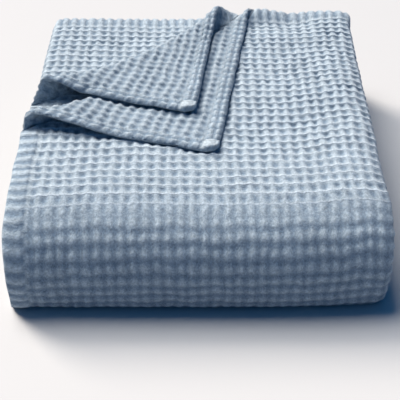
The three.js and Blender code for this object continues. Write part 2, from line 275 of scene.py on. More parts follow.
def crease_sink(x, y):
    total = np.zeros(np.shape(x))
    for crease in CREASES:
        run_x = crease["x1"] - crease["x0"]
        run_y = crease["y1"] - crease["y0"]
        share = ((x - crease["x0"]) * run_x + (y - crease["y0"]) * run_y) / (run_x ** 2 + run_y ** 2)
        near = np.clip(share, 0, 1)
        away = np.hypot(x - crease["x0"] - near * run_x, y - crease["y0"] - near * run_y)
        total = total + crease["sink"] * np.exp(-(away / crease["half_width"]) ** 2)
    return total


def settle(x, y, z):
    """Soft unevenness of the whole stack, as an (n, 3) array."""
    inner = WIDTH / 2 - SHOULDER_WIDTH
    right = np.clip((x - inner) / SHOULDER_WIDTH, 0, SHOULDER_MOST) ** 2
    left = np.clip((-x - inner) / SHOULDER_WIDTH, 0, SHOULDER_MOST) ** 2
    level = z / STACK
    raised = np.clip(level, 0, RAISED_MOST)
    backness = 1 - smooth_fall((y - SHOULDER_TURN) / (BACK - SHOULDER_TURN))
    right_drop = SHOULDER_DROP_RIGHT + (SHOULDER_DROP_BACK - SHOULDER_DROP_RIGHT) * backness
    drop = (right_drop * right + SHOULDER_DROP_LEFT * left) / STACK
    lift = smooth_fall(np.abs(x - LIFT_MIDDLE) / LIFT_HALF_WIDTH) * smooth_fall((BACK - y) / LIFT_DEPTH)
    side = x / (WIDTH / 2)
    bow = np.where(side > 0, BOW_RIGHT, BOW_LEFT) * np.abs(side) ** 3
    swell = SWELL * ripple(x / SWELL_LENGTH, y / SWELL_LENGTH, 1) - crease_sink(x, y)
    side_swell = SIDE_SWELL * side ** 3 * ripple(y / SIDE_SWELL_LENGTH, z / SIDE_SWELL_LENGTH, 2)
    back_tuck = BACK_TUCK * left * smooth_fall((BACK - y) / BACK_TUCK_LENGTH)
    taper = RIGHT_TAPER * np.clip(side, 0, None) * y / BACK
    floor_tuck = FLOOR_TUCK * np.clip(1 - level, 0, 1) ** 2
    return np.stack([
        x * (1 - floor_tuck) + side_swell * np.clip(level, 0, 1) + taper + back_tuck,
        y + bow * np.clip((ROLL_START - y) / ROLL_REACH, 0, 1),
        z * (1 - drop * raised) + swell * raised ** 2 + LIFT * lift * raised ** 4 - FLOOR_GAP,
    ], axis=-1)


print("soft creases placed:", len(CREASES))

# %% [markdown]
# ## Weave cells
# A waffle weave is a grid of raised ridges around square wells. Counting the cells along the cloth and
# across it gives every point of the sheet its place in the weave: whole numbers are ridges. In the hems
# the doubled cloth shows one wide, pressed cell. Round the front the cloth is pulled, so its cells grow.
# The ridges also lean a little to the front and sag between the cross ridges, as they do after washing.

# %% Weave cells
CELL_ACROSS = 11.5
CELL_ALONG = 12.4
CELL_LENGTHS = [
    {"along": 0, "length": CELL_ALONG},
    {"along": 340, "length": CELL_ALONG},
    {"along": 350, "length": 11.6},
    {"along": 372, "length": 12.2},
    {"along": 387, "length": 14.2},
    {"along": 401, "length": 14.5},
    {"along": 417, "length": 16.4},
    {"along": 449, "length": 16.6},
    {"along": 465, "length": 15.3},
    {"along": 480, "length": 13.0},
    {"along": 492, "length": 11.8},
    {"along": 510, "length": CELL_ALONG},
]
STRETCH = [
    {"along": 0, "kept": 1.0},
    {"along": 300, "kept": 1.0},
    {"along": 345, "kept": 0.78},
    {"along": 385, "kept": 0.78},
    {"along": 420, "kept": 0.7},
    {"along": 460, "kept": 0.7},
    {"along": 505, "kept": 0.8},
]
PULLED_FROM = 372
PULLED_TO = 430
TABLE_SAMPLES = 4001


def from_table(table, name, t):
    return np.interp(t, [row["along"] for row in table], [row[name] for row in table])


TABLE_T = np.linspace(0, CLOTH_END, TABLE_SAMPLES)
TABLE_LENGTH = from_table(CELL_LENGTHS, "length", TABLE_T)
TABLE_LENGTH = np.where((TABLE_T < HEM_WIDTH) | (TABLE_T > CLOTH_END - HEM_WIDTH), HEM_WIDTH, TABLE_LENGTH)
TABLE_V = np.concatenate([[0], np.cumsum(np.diff(TABLE_T) / TABLE_LENGTH[1:])])


def cells_from_edge(distance, cell):
    """Cells counted from a hemmed edge: the hem is one wide cell."""
    return np.where(distance < HEM_WIDTH, distance / HEM_WIDTH, 1 + (distance - HEM_WIDTH) / cell)


def hem_share(distance):
    """1 in a hem and 0 past it, turning within a millimetre of its seam on either side."""
    return np.clip((HEM_WIDTH + 1 - distance) / 2, 0, 1)


def cells_along(t):
    return np.interp(t, TABLE_T, TABLE_V)


def place_of_cell(v):
    return np.interp(v, TABLE_V, TABLE_T)


WANDER_ACROSS = 0.9
WANDER_ALONG = 0.8
ACROSS_PACE = (0.9, 1.3)
ALONG_PACE = (1.1, 0.8)
SCALLOP = -0.6
LEAN = 1.3
SKEW_LEFT_FROM = 60
SKEW_LEFT_WIDTH = 120
SKEW_RIGHT_FROM = 92
SKEW_RIGHT_WIDTH = 82
ROW_SKEW = [
    {"along": 0, "left": 0, "right": 0},
    {"along": 70, "left": 0, "right": -11},
    {"along": 200, "left": 0, "right": -17},
    {"along": 276, "left": 0, "right": -13},
    {"along": 322, "left": 9, "right": -10},
    {"along": 385, "left": 5, "right": -5},
    {"along": 490, "left": 4, "right": -4},
    {"along": 540, "left": 0, "right": 0},
]


def wander(u, v):
    """How far the ridges stray from a true grid, across and along, in millimetres."""
    across = WANDER_ACROSS * ripple(ACROSS_PACE[0] * u, ACROSS_PACE[1] * v, 3)
    along = WANDER_ALONG * ripple(ALONG_PACE[0] * u, ALONG_PACE[1] * v, 4)
    return across, along + SCALLOP * np.cos(2 * np.pi * u)


def row_skew(x, t):
    """How far the rows are drawn along the cloth towards its two sides, in millimetres."""
    left = 1 - smooth_fall((-x - SKEW_LEFT_FROM) / SKEW_LEFT_WIDTH)
    right = 1 - smooth_fall((x - SKEW_RIGHT_FROM) / SKEW_RIGHT_WIDTH)
    return from_table(ROW_SKEW, "left", t) * left + from_table(ROW_SKEW, "right", t) * right


print("cells across the top:", round(WIDTH / CELL_ACROSS))
print("cells along the top:", round(float(cells_along(TOP_RUN)), 1))

# %% [markdown]
# ## The sheet as a list of rows
# The sheet is gathered as points and faces. Rows of points are joined key by key: where two rows share
# their columns they give clean four-sided faces, and where one is finer than the other the strip between
# them is zipped with triangles. So the weave can be fine where it shows and plain where it is hidden.

# %% Points and faces
points = []
outward = []
cells = []
hems = []
faces = []


def add_points(place, out, u, v, form, hem):
    """Adds points and returns their numbers. hem holds side hem, end hem and relief for each.

    form is 0 for the plain weave, down to -1 where it is pulled and 1 where its underside shows.
    """
    first = sum(len(block) for block in points)
    count = len(place)
    points.append(place)
    outward.append(out)
    cells.append(np.stack([*np.broadcast_arrays(u, v, np.full(count, float(form)))], axis=-1))
    hems.append(hem)
    return list(range(first, first + count))


def all_points():
    return np.concatenate(points)


def unit(vectors):
    """The same directions, each one long."""
    return vectors / np.linalg.norm(vectors, axis=1, keepdims=True)


def zip_strip(one, other, place):
    """Fills the strip between two lines of points, always with the shorter diagonal."""
    i = 0
    j = 0
    while i + 1 < len(one) or j + 1 < len(other):
        if i + 1 == len(one):
            step_one = False
        elif j + 1 == len(other):
            step_one = True
        else:
            gap_one = place[one[i + 1]] - place[other[j]]
            gap_other = place[one[i]] - place[other[j + 1]]
            step_one = gap_one @ gap_one <= gap_other @ gap_other
        if step_one:
            faces.append((one[i], one[i + 1], other[j]))
            i += 1
        else:
            faces.append((one[i], other[j + 1], other[j]))
            j += 1


def join_rows(row, following, place):
    """Joins two rows, each a pair of keys and point numbers."""
    keys, ids = row
    next_keys, next_ids = following
    where = {key: k for k, key in enumerate(next_keys)}
    shared = [(k, where[key]) for k, key in enumerate(keys) if key in where]
    for (i0, j0), (i1, j1) in zip(shared, shared[1:]):
        if i1 == i0 + 1 and j1 == j0 + 1:
            faces.append((ids[i0], ids[i1], next_ids[j1], next_ids[j0]))
        else:
            zip_strip(ids[i0:i1 + 1], next_ids[j0:j1 + 1], place)


print("kept for each point: its place, the way it faces, its cell and its hems")

# %% [markdown]
# ## Stations across the width
# Across the width the cloth goes to and fro: ply 1 on top, round the right side to ply 4, back to the
# left to ply 5, and so on. A station is one place on that path, with the direction its outer face looks.

# %% Stations
STATION = np.dtype([("key", "i8"), ("x", "f8"), ("depth", "f8"), ("nx", "f8"), ("nd", "f8"),
                    ("short", "f8"), ("u", "f8"), ("relief", "f8"), ("side_hem", "f8")])
SHORT_AT_BACK = {1: 0, 2: 0, 3: 1, 4: 5, 5: 2, 6: 6}
FACING = {1: -1, 4: 1, 5: -1, 6: 1, 3: -1, 2: 1}
KEYS_PER_PLY = 100000
KEYS_PER_MM = 100
MIDDLE_KEY = 40000
EDGE_KEY = 99999
BEND_KEYS = 10000000
KEYS_PER_BEND = 1000


def ply_depth(ply):
    return (ply - 0.5) * PITCH


def fold_axis(reach, plies):
    return reach - HALF_SHEET - FOLD_FULLNESS * plies * PITCH / 2


RIGHT_AXIS = fold_axis(RIGHT_FOLD, 3)
LEFT_AXIS = -fold_axis(LEFT_FOLD, 3)
HALF_AXIS = fold_axis(HALF_FOLD, 1)


def ply_cells(ply, x):
    """The cell count across at x: plies 1 and 2 count from their hems."""
    if ply == 1:
        return cells_from_edge(x + TOP_HEM, CELL_ACROSS)
    if ply == 2:
        return cells_from_edge(x + SECOND_HEM, CELL_ACROSS)
    return x / CELL_ACROSS


def flat_stations(ply, x, relief=0.0):
    x = np.asarray(x, float)
    made = np.zeros(len(x), STATION)
    made["key"] = ply * KEYS_PER_PLY + np.round(x * KEYS_PER_MM).astype(int) + MIDDLE_KEY
    made["x"] = x
    made["depth"] = ply_depth(ply)
    made["nd"] = FACING[ply]
    made["short"] = SHORT_AT_BACK[ply]
    made["u"] = ply_cells(ply, x)
    made["relief"] = relief
    if ply == 1:
        made["side_hem"] = hem_share(x + TOP_HEM)
    return made


def bend_stations(ply, following, axis, count, relief=0.0):
    """A fold from one ply to another round an axis, both ends included."""
    side = np.sign(axis)
    turn = np.sign(following - ply)
    radius = abs(following - ply) * PITCH / 2
    angle = np.linspace(0, np.pi, count + 1)
    across = side * FOLD_FULLNESS * np.cos(angle)
    inwards = turn * np.sin(angle)
    length = np.hypot(across, inwards)
    made = np.zeros(count + 1, STATION)
    made["key"] = BEND_KEYS + ply * KEYS_PER_BEND + np.arange(count + 1)
    made["x"] = axis + side * FOLD_FULLNESS * radius * np.sin(angle)
    made["depth"] = (ply_depth(ply) + ply_depth(following)) / 2 - turn * radius * np.cos(angle)
    made["nx"] = inwards / length
    made["nd"] = -across / length
    made["short"] = SHORT_AT_BACK[ply] + (SHORT_AT_BACK[following] - SHORT_AT_BACK[ply]) * angle / np.pi
    skin_x = made["x"] + HALF_SHEET * made["nx"]
    skin_depth = made["depth"] + HALF_SHEET * made["nd"]
    arc = np.concatenate([[0], np.cumsum(np.hypot(np.diff(skin_x), np.diff(skin_depth)))])
    made["u"] = ply_cells(ply, axis) + side * arc / CELL_ACROSS
    if following == 3:
        made["u"] = ply_cells(3, axis) + side * (arc[-1] - arc) / CELL_ACROSS
    made["relief"] = relief
    return made


print("fold axes:", round(RIGHT_AXIS, 1), round(LEFT_AXIS, 1), round(HALF_AXIS, 1))

# %% [markdown]
# ## Turned corners
# The back left corners of the two top plies are turned over. Each has a soft loop at its fold line, then
# falls and lies flat up to its tip, with the cloth's underside up. The second corner rests on the first.

# %% Turned corners
TURNED_CORNERS = [
    {"ply": 1, "hem": TOP_HEM, "left_y": -52, "back_x": 73, "tip_x": 19, "tip_y": -96, "bow": 17,
     "rest_plies": 1, "rise": [10.5, 3, 3], "reach": [1.5, 4, 4], "fall": [105, 40, 40]},
    {"ply": 2, "hem": SECOND_HEM, "left_y": 8, "back_x": 53, "tip_x": -5, "tip_y": -29, "bow": 18,
     "rest_plies": 3, "rise": [15, 9, 13], "reach": [1, 6, 10], "fall": [56, 45, 45]},
]
CORNER_GAP = 0.6
CORNER_SOFTNESS = 2
DRAPE_WIDTH = 20
DRAPE_FROM = 0.4
DRAPE_SHARE = 0.3
LEFT_SHARE = 0.4
BACK_SHARE = 0.5
LOOP_STEPS = 24
FALL_STEPS = 16
LINE_SAMPLES = 801


def three_values(values, share):
    """A column read at the left hem, in the middle of the turned edge and at the back hem."""
    left = np.clip(1 - share / LEFT_SHARE, 0, 1) ** 2
    back = np.clip((share - BACK_SHARE) / (1 - BACK_SHARE), 0, 1) ** 2
    return values[0] * left + values[2] * back + values[1] * (1 - left - back)


def corner_frame(corner):
    start = np.array([-corner["hem"], corner["left_y"]], float)
    line = np.array([corner["back_x"], BACK]) - start
    length = np.hypot(*line)
    edge = line / length
    inward = np.array([edge[1], -edge[0]])
    tip = np.array([corner["tip_x"], corner["tip_y"]]) - start
    return start, length, edge, inward, tip @ edge, tip @ inward


def bow_at(corner, share):
    return corner["bow"] * 4 * share * (1 - share)


def fold_line(corner, y):
    """The x of the fold line at a place y, or of the hem in front of it."""
    start, length, edge, inward, _, _ = corner_frame(corner)
    share = np.linspace(0, 1, LINE_SAMPLES)
    line = start + np.outer(share * length, edge) + np.outer(bow_at(corner, share), inward)
    return np.where(y > corner["left_y"], np.interp(y, line[:, 1], line[:, 0]), -corner["hem"])


def held_up(corner, x, y):
    """How high over its own ply a turned corner holds what drapes over it."""
    start, length, edge, inward, _, _ = corner_frame(corner)
    along = ((x - start[0]) * edge[0] + (y - start[1]) * edge[1]) / length
    share = np.clip(along, 0, 1)
    inset = (x - start[0]) * inward[0] + (y - start[1]) * inward[1] - bow_at(corner, share)
    rise = three_values(corner["rise"], share)
    rest = corner["rest_plies"] * PITCH
    before = 2 * rise * smooth_fall(-inset / DRAPE_WIDTH)
    after = rest + (2 * rise - rest) * smooth_fall(inset / three_values(corner["fall"], share))
    return np.where(inset < 0, before, after)


def corner_section(corner, share):
    """Inset and height of a turned corner's section at each share, from its fold line to its tip."""
    _, _, _, _, _, tip_in = corner_frame(corner)
    rest = corner["rest_plies"] * PITCH
    rise = three_values(corner["rise"], share)[:, None]
    reach = three_values(corner["reach"], share)[:, None]
    fall = three_values(corner["fall"], share)[:, None]
    loop = np.linspace(0, 1, LOOP_STEPS + 1)
    down = np.linspace(0, 1, FALL_STEPS + 1)[1:]
    end = tip_in - bow_at(corner, share)[:, None]
    inset = np.hstack([-reach * np.sin(np.pi * loop), fall * down, end])
    height = np.hstack([
        rise * (1 - np.cos(np.pi * loop)),
        rest + (2 * rise - rest) * smooth_fall(down),
        np.full_like(end, rest),
    ])
    steps = np.hypot(np.diff(inset, axis=1), np.diff(height, axis=1))
    arc = np.hstack([np.zeros_like(end), np.cumsum(steps, axis=1)])
    return inset, height, arc


def corner_legs(corner):
    """Lengths of the cloth along the two hemmed edges of a turned corner, from its tip."""
    start, length, edge, inward, tip_along, _ = corner_frame(corner)
    legs = []
    for share in (0.0, 1.0):
        arc = corner_section(corner, np.array([share]))[2][0, -1]
        legs.append(math.hypot(arc, tip_along - share * length))
    return legs


def corner_places(corner, from_back, from_left, below):
    """Mid-surface of a turned corner at distances from its two hemmed edges."""
    start, length, edge, inward, tip_along, _ = corner_frame(corner)
    left_leg, back_leg = corner_legs(corner)
    left_share = np.clip(from_back / left_leg, 0, None)
    back_share = np.clip(from_left / back_leg, 0, None)
    whole = np.maximum(left_share + back_share, 1e-6)
    share = back_share / whole
    gone = 1 - whole
    inset, height, arc = corner_section(corner, share)
    along_arc = np.clip(gone, 0, 1) * arc[:, -1]
    column = np.clip((arc <= along_arc[:, None]).sum(axis=1) - 1, 0, arc.shape[1] - 2)
    line = np.arange(len(share))
    part = (along_arc - arc[line, column]) / (arc[line, column + 1] - arc[line, column])
    here_in = inset[line, column] + part * (inset[line, column + 1] - inset[line, column])
    here_up = height[line, column] + part * (height[line, column + 1] - height[line, column])
    distance = share * length + (tip_along - share * length) * gone
    across = here_in + bow_at(corner, share)
    x = start[0] + edge[0] * distance + inward[0] * across
    y = start[1] + edge[1] * distance + inward[1] * across
    z = STACK - ply_depth(corner["ply"]) + here_up
    if below is not None:
        clear = STACK - ply_depth(below["ply"]) + held_up(below, x, y) + PITCH + CORNER_GAP
        over = (z + clear + np.hypot(z - clear, CORNER_SOFTNESS)) / 2
        loop_share = along_arc / arc[:, LOOP_STEPS]
        weight = 1 - smooth_fall((loop_share - DRAPE_FROM) / DRAPE_SHARE)
        z = z + (over - z) * weight
    return settle(x, y, z)


for corner in TURNED_CORNERS:
    print("turned corner of ply", corner["ply"], "edges", np.round(corner_legs(corner)).tolist(), "mm")

# %% [markdown]
# ## Both faces of the cloth
# The sheet has an outer and an inner face. Each band of stations runs the whole length of the cloth with
# its own rows: close rows where the weave shows, wide ones where plies are pressed together inside.

# %% Rows and bands
FINE = 6
FINE_BEHIND = 3
FLOOR_LIP = 14
FLOOR_CLEAR = 1
FLOOR_FADE = 5
SPARSE_X = [-150, -60, 60, 85, 112, 140, 160]
SPARSE_STEPS = [30, 12, 40, 8, 40, 10, 40]
SPARSE_GAP = 3
FINE_GAP = 0.8
LEAN_GAIN = 4
LEFT_AT = {corner["ply"]: BACK - corner["left_y"] for corner in TURNED_CORNERS}


def rows_between(first, last, per_cell):
    start = cells_along(first)
    count = max(1, round((cells_along(last) - start) * per_cell))
    return place_of_cell(np.linspace(start, cells_along(last), count + 1))


def sparse_rows():
    places = [np.zeros(1)]
    begin = 0.0
    for length, step in zip(RUN_LENGTHS, SPARSE_STEPS):
        count = math.ceil(length / step)
        places.append(begin + length * np.arange(1, count + 1) / count)
        begin += length
    places.append(np.array([HEM_WIDTH, LEFT_AT[1], LEFT_AT[2]]))
    return with_gaps(np.concatenate(places), SPARSE_GAP)


def with_gaps(places, gap):
    """Sorted places, less those too near to one that has to stay."""
    keep = [0.0, LEFT_AT[1], LEFT_AT[2], CLOTH_END]
    others = [t for t in np.unique(places) if min(abs(t - k) for k in keep) > gap]
    return np.sort(np.array(keep + others))


FINE_END = ROLL_END + FLOOR_LIP
SPARSE_ROWS = sparse_rows()
FINE_STEPS = np.arange(0, int(cells_along(FINE_END) * FINE) + 1) / FINE
FINE_ROWS = with_gaps(np.concatenate([
    place_of_cell(FINE_STEPS),
    rows_between(FINE_END, CLOTH_END, FINE_BEHIND)[1:],
]), FINE_GAP)
SIDE_ROWS = with_gaps(rows_between(0, CLOTH_END, FINE_BEHIND), FINE_GAP)


def skin_row(t, stations, skin):
    """Adds one row of points on one face of the cloth; skin is 1 for the outer face and -1 inside."""
    v = cells_along(t)
    stray_x, stray_t = wander(stations["u"], v)
    kept = from_table(STRETCH, "kept", t)
    slack = smooth_fall((t - PULLED_FROM) / (PULLED_TO - PULLED_FROM))
    stray_t = stray_t + LEAN * slack * np.clip(LEAN_GAIN * kept - LEAN_GAIN + 1, 0, 1) * np.cos(2 * np.pi * v)
    along = t + stray_t * np.abs(stations["nd"]) + row_skew(stations["x"], t) * stations["relief"]
    x = stations["x"] + stray_x * np.abs(stations["nd"]) + sideways_shift(t)
    spacing = ply_spacing(t)

    def face(offset):
        y, z = along_cloth(along, stations["depth"] + offset * stations["nd"] / spacing, stations["short"])
        return settle(x + offset * stations["nx"], y, z)

    place = face(skin * HALF_SHEET)
    out = unit(skin * (face(HALF_SHEET) - face(-HALF_SHEET)))
    end_hem = float(hem_share(min(t, CLOTH_END - t)))
    relief = stations["relief"] * kept * np.clip((place[:, 2] - FLOOR_CLEAR) / FLOOR_FADE, 0, 1)
    hem = np.stack([stations["side_hem"], np.full(len(x), end_hem), relief], axis=-1)
    return stations["key"].tolist(), add_points(place, out, stations["u"], v, slack - 1, hem)


def add_band(rows, stations_at, skin):
    """Adds a band of rows down the whole cloth and returns its rows as keys and point numbers."""
    made = [skin_row(t, stations_at(t), skin) for t in rows]
    place = all_points()
    for row, following in zip(made, made[1:]):
        join_rows(row, following, place)
    return made


def column(band, end):
    return [ids[end] for _, ids in band]


print("rows: fine", len(FINE_ROWS), "side", len(SIDE_ROWS), "sparse", len(SPARSE_ROWS))

# %% Stations of each band
FINE_BEND_STEPS = 15
HIDDEN_STEPS = 5
CELLS_BESIDE = 20
FINE_CLEAR = 1
NEAR = 0.01
HEM_STEPS = np.linspace(0, HEM_WIDTH, 10)
TOP_STEPS = HEM_WIDTH + np.arange(0, WIDTH * FINE) * CELL_ACROSS / FINE
RIGHT_BEND = bend_stations(1, 4, RIGHT_AXIS, FINE_BEND_STEPS, 1.0)
HALF_BEND = bend_stations(5, 6, HALF_AXIS, HIDDEN_STEPS, 1.0)
LEFT_BEND = bend_stations(6, 3, LEFT_AXIS, FINE_BEND_STEPS, 1.0)
COVER_MARGIN = 22
EDGE_CLEAR = 8
first_corner, second_corner = TURNED_CORNERS


def edge_station(ply, x):
    """The free edge of ply 1 or 2: its hem, or the fold line of its turned corner."""
    made = flat_stations(ply, [x])
    made["key"] = ply * KEYS_PER_PLY + EDGE_KEY
    return made


def free_edge(ply, t):
    corner = TURNED_CORNERS[ply - 1]
    y = BACK - t if t < TOP_RUN else ROLL_START
    return float(fold_line(corner, y))


def under_corner(x, t):
    """True where ply 1 is well covered by its turned corner."""
    y = BACK - t
    tip_x, tip_y = first_corner["tip_x"], first_corner["tip_y"]
    right = tip_x + (y - tip_y) * (first_corner["back_x"] - tip_x) / (BACK - tip_y)
    front = tip_y + (tip_x - x) * (first_corner["left_y"] - tip_y) / (tip_x + TOP_HEM)
    left = fold_line(first_corner, y)
    return (x < right - COVER_MARGIN) & (y > front + COVER_MARGIN) & (x > left + 2 * COVER_MARGIN)


def top_stations(t):
    """Ply 1 and the right fold: fine on the top and the front, plain below."""
    edge = free_edge(1, t)
    if t > FINE_END:
        inside = flat_stations(1, [-TOP_HEM + HEM_WIDTH, *SPARSE_X])
        return np.concatenate([edge_station(1, edge), inside, RIGHT_BEND])
    x = np.concatenate([HEM_STEPS, TOP_STEPS[1:]]) - TOP_HEM
    x = x[(x > edge + FINE_CLEAR) & (x < RIGHT_AXIS - FINE_CLEAR)]
    inside = flat_stations(1, x, 1.0)
    hidden = under_corner(x, t)
    whole = np.abs(inside["u"] - np.round(inside["u"])) < NEAR
    inside = inside[~hidden | whole]
    ends = edge_station(1, edge)
    ends["relief"] = 1.0 if t > LEFT_AT[1] else 0.0
    return np.concatenate([ends, inside, RIGHT_BEND])


def third_stations(t):
    """The left fold and ply 3: fine where the turned corners leave it bare."""
    bare = -np.inf
    if t < LEFT_AT[2] + COVER_MARGIN:
        bare = float(fold_line(second_corner, BACK - t)) + COVER_MARGIN
    x = np.arange(-CELLS_BESIDE * FINE, CELLS_BESIDE * FINE) * CELL_ACROSS / FINE
    fine = flat_stations(3, x[(x > LEFT_AXIS + FINE_CLEAR) & (x < bare)], 1.0)
    plain = flat_stations(3, [s for s in SPARSE_X if s > max(bare + SPARSE_GAP, LEFT_AXIS)])
    return np.concatenate([LEFT_BEND, fine, plain])


def fourth_fifth_stations(t):
    return np.concatenate([
        flat_stations(4, SPARSE_X[::-1]),
        bend_stations(4, 5, LEFT_AXIS, HIDDEN_STEPS),
        flat_stations(5, SPARSE_X),
    ])


def second_stations(t):
    edge = free_edge(2, t)
    plain = [x for x in SPARSE_X[::-1] if x > edge + EDGE_CLEAR]
    return np.concatenate([
        bend_stations(3, 2, RIGHT_AXIS, HIDDEN_STEPS),
        flat_stations(2, plain),
        edge_station(2, edge),
    ])


def inner_stations(t):
    edge = free_edge(1, t)
    plain = [x for x in SPARSE_X if x > edge + EDGE_CLEAR]
    return np.concatenate([
        edge_station(1, edge),
        flat_stations(1, plain),
        bend_stations(1, 4, RIGHT_AXIS, HIDDEN_STEPS),
        fourth_fifth_stations(t),
        bend_stations(5, 6, HALF_AXIS, HIDDEN_STEPS),
        flat_stations(6, SPARSE_X[::-1]),
        bend_stations(6, 3, LEFT_AXIS, HIDDEN_STEPS),
        flat_stations(3, SPARSE_X),
        second_stations(t),
    ])


print("stations at the floor: outer", len(top_stations(ROLL_END)), "inner", len(inner_stations(ROLL_END)))

# %% Bands of both faces
bands = [
    add_band(FINE_ROWS, top_stations, 1),
    add_band(SPARSE_ROWS, fourth_fifth_stations, 1),
    add_band(SIDE_ROWS, lambda t: HALF_BEND, 1),
    add_band(SPARSE_ROWS, lambda t: flat_stations(6, SPARSE_X[::-1]), 1),
    add_band(FINE_ROWS, third_stations, 1),
    add_band(SPARSE_ROWS, second_stations, 1),
]
for band, following in zip(bands, bands[1:]):
    zip_strip(column(band, -1), column(following, 0), all_points())
inner_band = add_band(SPARSE_ROWS, inner_stations, -1)
print("points so far:", len(all_points()), "faces:", len(faces))

# %% [markdown]
# ## Faces of the turned corners
# A turned corner is a triangle of cloth. Its rows run along the weave, so the ridges follow its two
# hemmed edges, and each row ends at the fold line, where it is zipped to the ply that it belongs to.

# %% Corner faces
FOLD_START = 0.012
CORNER_PLAIN_STEP = 12
CORNER_LEAN = 0.8
TIP_ROUND = 15
EDGE_WAVE = 1.3
EDGE_PACE = 8.2
CORNER_CELLS_ON = 40
PROBE_ON = 1.0
PROBE_BACK = 0.5


def round_tip(from_back, from_left):
    """Draws the square tip of a corner in to a quarter circle."""
    p = np.clip(TIP_ROUND - from_back, 0, None)
    q = np.clip(TIP_ROUND - from_left, 0, None)
    shrink = np.where((p > 0) & (q > 0), np.maximum(p, q) / np.maximum(np.hypot(p, q), 1e-9), 1.0)
    return from_back + p * (1 - shrink), from_left + q * (1 - shrink)


def corner_steps(leg, cell, fine):
    if not fine:
        return np.arange(0, leg, CORNER_PLAIN_STEP)
    rest = HEM_WIDTH + np.arange(1, int(leg / cell * FINE)) * cell / FINE
    return np.concatenate([HEM_STEPS, rest[rest < leg]])


def corner_face(corner, below, up, fine):
    """One face of a turned corner; returns the points along its fold line, from the left to the back."""
    left_leg, back_leg = corner_legs(corner)
    end = 1 - FOLD_START
    rows = []
    steps = corner_steps(left_leg, CELL_ALONG, fine)
    for from_left in corner_steps(back_leg * end, CELL_ACROSS, fine):
        limit = left_leg * (end - from_left / back_leg)
        from_back = np.concatenate([steps[steps < limit - FINE_GAP], [limit]])
        keys = [*range(len(from_back) - 1), EDGE_KEY]
        left = np.full(len(from_back), from_left)
        v = cells_from_edge(from_back, CELL_ALONG)
        u = cells_from_edge(left, CELL_ACROSS)
        stray_u, stray_v = wander(u + CORNER_CELLS_ON, v)
        inside = np.clip(np.minimum(from_back, left) / HEM_WIDTH, 0, 1)
        a = from_back + stray_v * inside
        b = left + (stray_u - CORNER_LEAN * np.cos(2 * np.pi * u)) * inside
        wave_a = EDGE_WAVE * (1 + ripple(EDGE_PACE * u, 0, 5)) * np.clip(1 - from_back / HEM_WIDTH, 0, 1)
        wave_b = EDGE_WAVE * (1 + ripple(EDGE_PACE * v, 0, 6)) * np.clip(1 - left / HEM_WIDTH, 0, 1)
        place = corner_places(corner, *round_tip(a + wave_a, b + wave_b), below)
        away_back = corner_places(corner, a + PROBE_ON, b, below)
        away_back = away_back - corner_places(corner, a - PROBE_BACK, b, below)
        away_left = corner_places(corner, a, b + PROBE_ON, below)
        away_left = away_left - corner_places(corner, a, b - PROBE_BACK, below)
        out = unit(np.cross(away_left, away_back)) * up
        relief = np.full(len(left), 1.0 if fine else 0.0)
        hem = np.stack([hem_share(left), hem_share(from_back), relief], axis=-1)
        rows.append((keys, add_points(place + out * HALF_SHEET, out, u, v, 1, hem)))
    place = all_points()
    for row, following in zip(rows, rows[1:]):
        join_rows(row, following, place)
    return [ids[-1] for _, ids in rows]


def fold_columns(band, end, ply, rows):
    """Points of a band's free edge along the fold line of its turned corner, from the left to the back."""
    ids = column(band, end)
    return [i for i, t in zip(ids, rows) if t <= LEFT_AT[ply] + NEAR][::-1]


folds = [
    (first_corner, None, 1, True, fold_columns(inner_band, 0, 1, SPARSE_ROWS)),
    (first_corner, None, -1, False, fold_columns(bands[0], 0, 1, FINE_ROWS)),
    (second_corner, first_corner, 1, True, fold_columns(bands[5], -1, 2, SPARSE_ROWS)),
    (second_corner, first_corner, -1, False, fold_columns(inner_band, -1, 2, SPARSE_ROWS)),
]
for corner, below, up, fine, fold_points in folds:
    fold_edge = corner_face(corner, below, up, fine)
    zip_strip(fold_edge, fold_points, all_points())
print("points with corners:", len(all_points()), "faces:", len(faces))

# %% [markdown]
# ## The rim
# Along every free edge the hem is turned under, so the two faces meet in a soft rounded rim. The open
# edge of each face is one loop round the whole cloth, and a line of points between the loops rounds it.

# %% Rim
RIM_BULGE = 0.9
FINE_AHEAD = 6
PLAIN_AHEAD = 3


def open_loops(some_faces):
    """The points round each open edge of a set of faces, in order."""
    used = {}
    for face in some_faces:
        for a, b in zip(face, face[1:] + face[:1]):
            edge = (min(a, b), max(a, b))
            used[edge] = used.get(edge, 0) + 1
    beside = {}
    for (a, b), count in used.items():
        if count == 1:
            beside.setdefault(a, []).append(b)
            beside.setdefault(b, []).append(a)
    loops = []
    left = set(beside)
    while left:
        loop = [min(left)]
        left.remove(loop[0])
        following = beside[loop[0]][0]
        while following in left:
            left.remove(following)
            loop.append(following)
            following = next((p for p in beside[following] if p in left), loop[0])
        loops.append(loop)
    return loops


def loop_from(loop, place, spot):
    """A closed loop turned to start at its point nearest to a spot."""
    start = int(np.argmin(np.linalg.norm(place[loop] - spot, axis=1)))
    turned = loop[start:] + loop[:start]
    return turned + turned[:1]


place = all_points()
tip = corner_places(first_corner, np.zeros(1), np.zeros(1), None)[0]
fine_loop, plain_loop = sorted(open_loops(faces), key=len, reverse=True)
fine_loop = loop_from(fine_loop, place, tip)
plain_loop = loop_from(plain_loop, place, tip)
ahead = place[fine_loop[FINE_AHEAD]]
onward = place[plain_loop[PLAIN_AHEAD]]
backward = place[plain_loop[-1 - PLAIN_AHEAD]]
if np.linalg.norm(onward - ahead) > np.linalg.norm(backward - ahead):
    plain_loop = plain_loop[::-1]

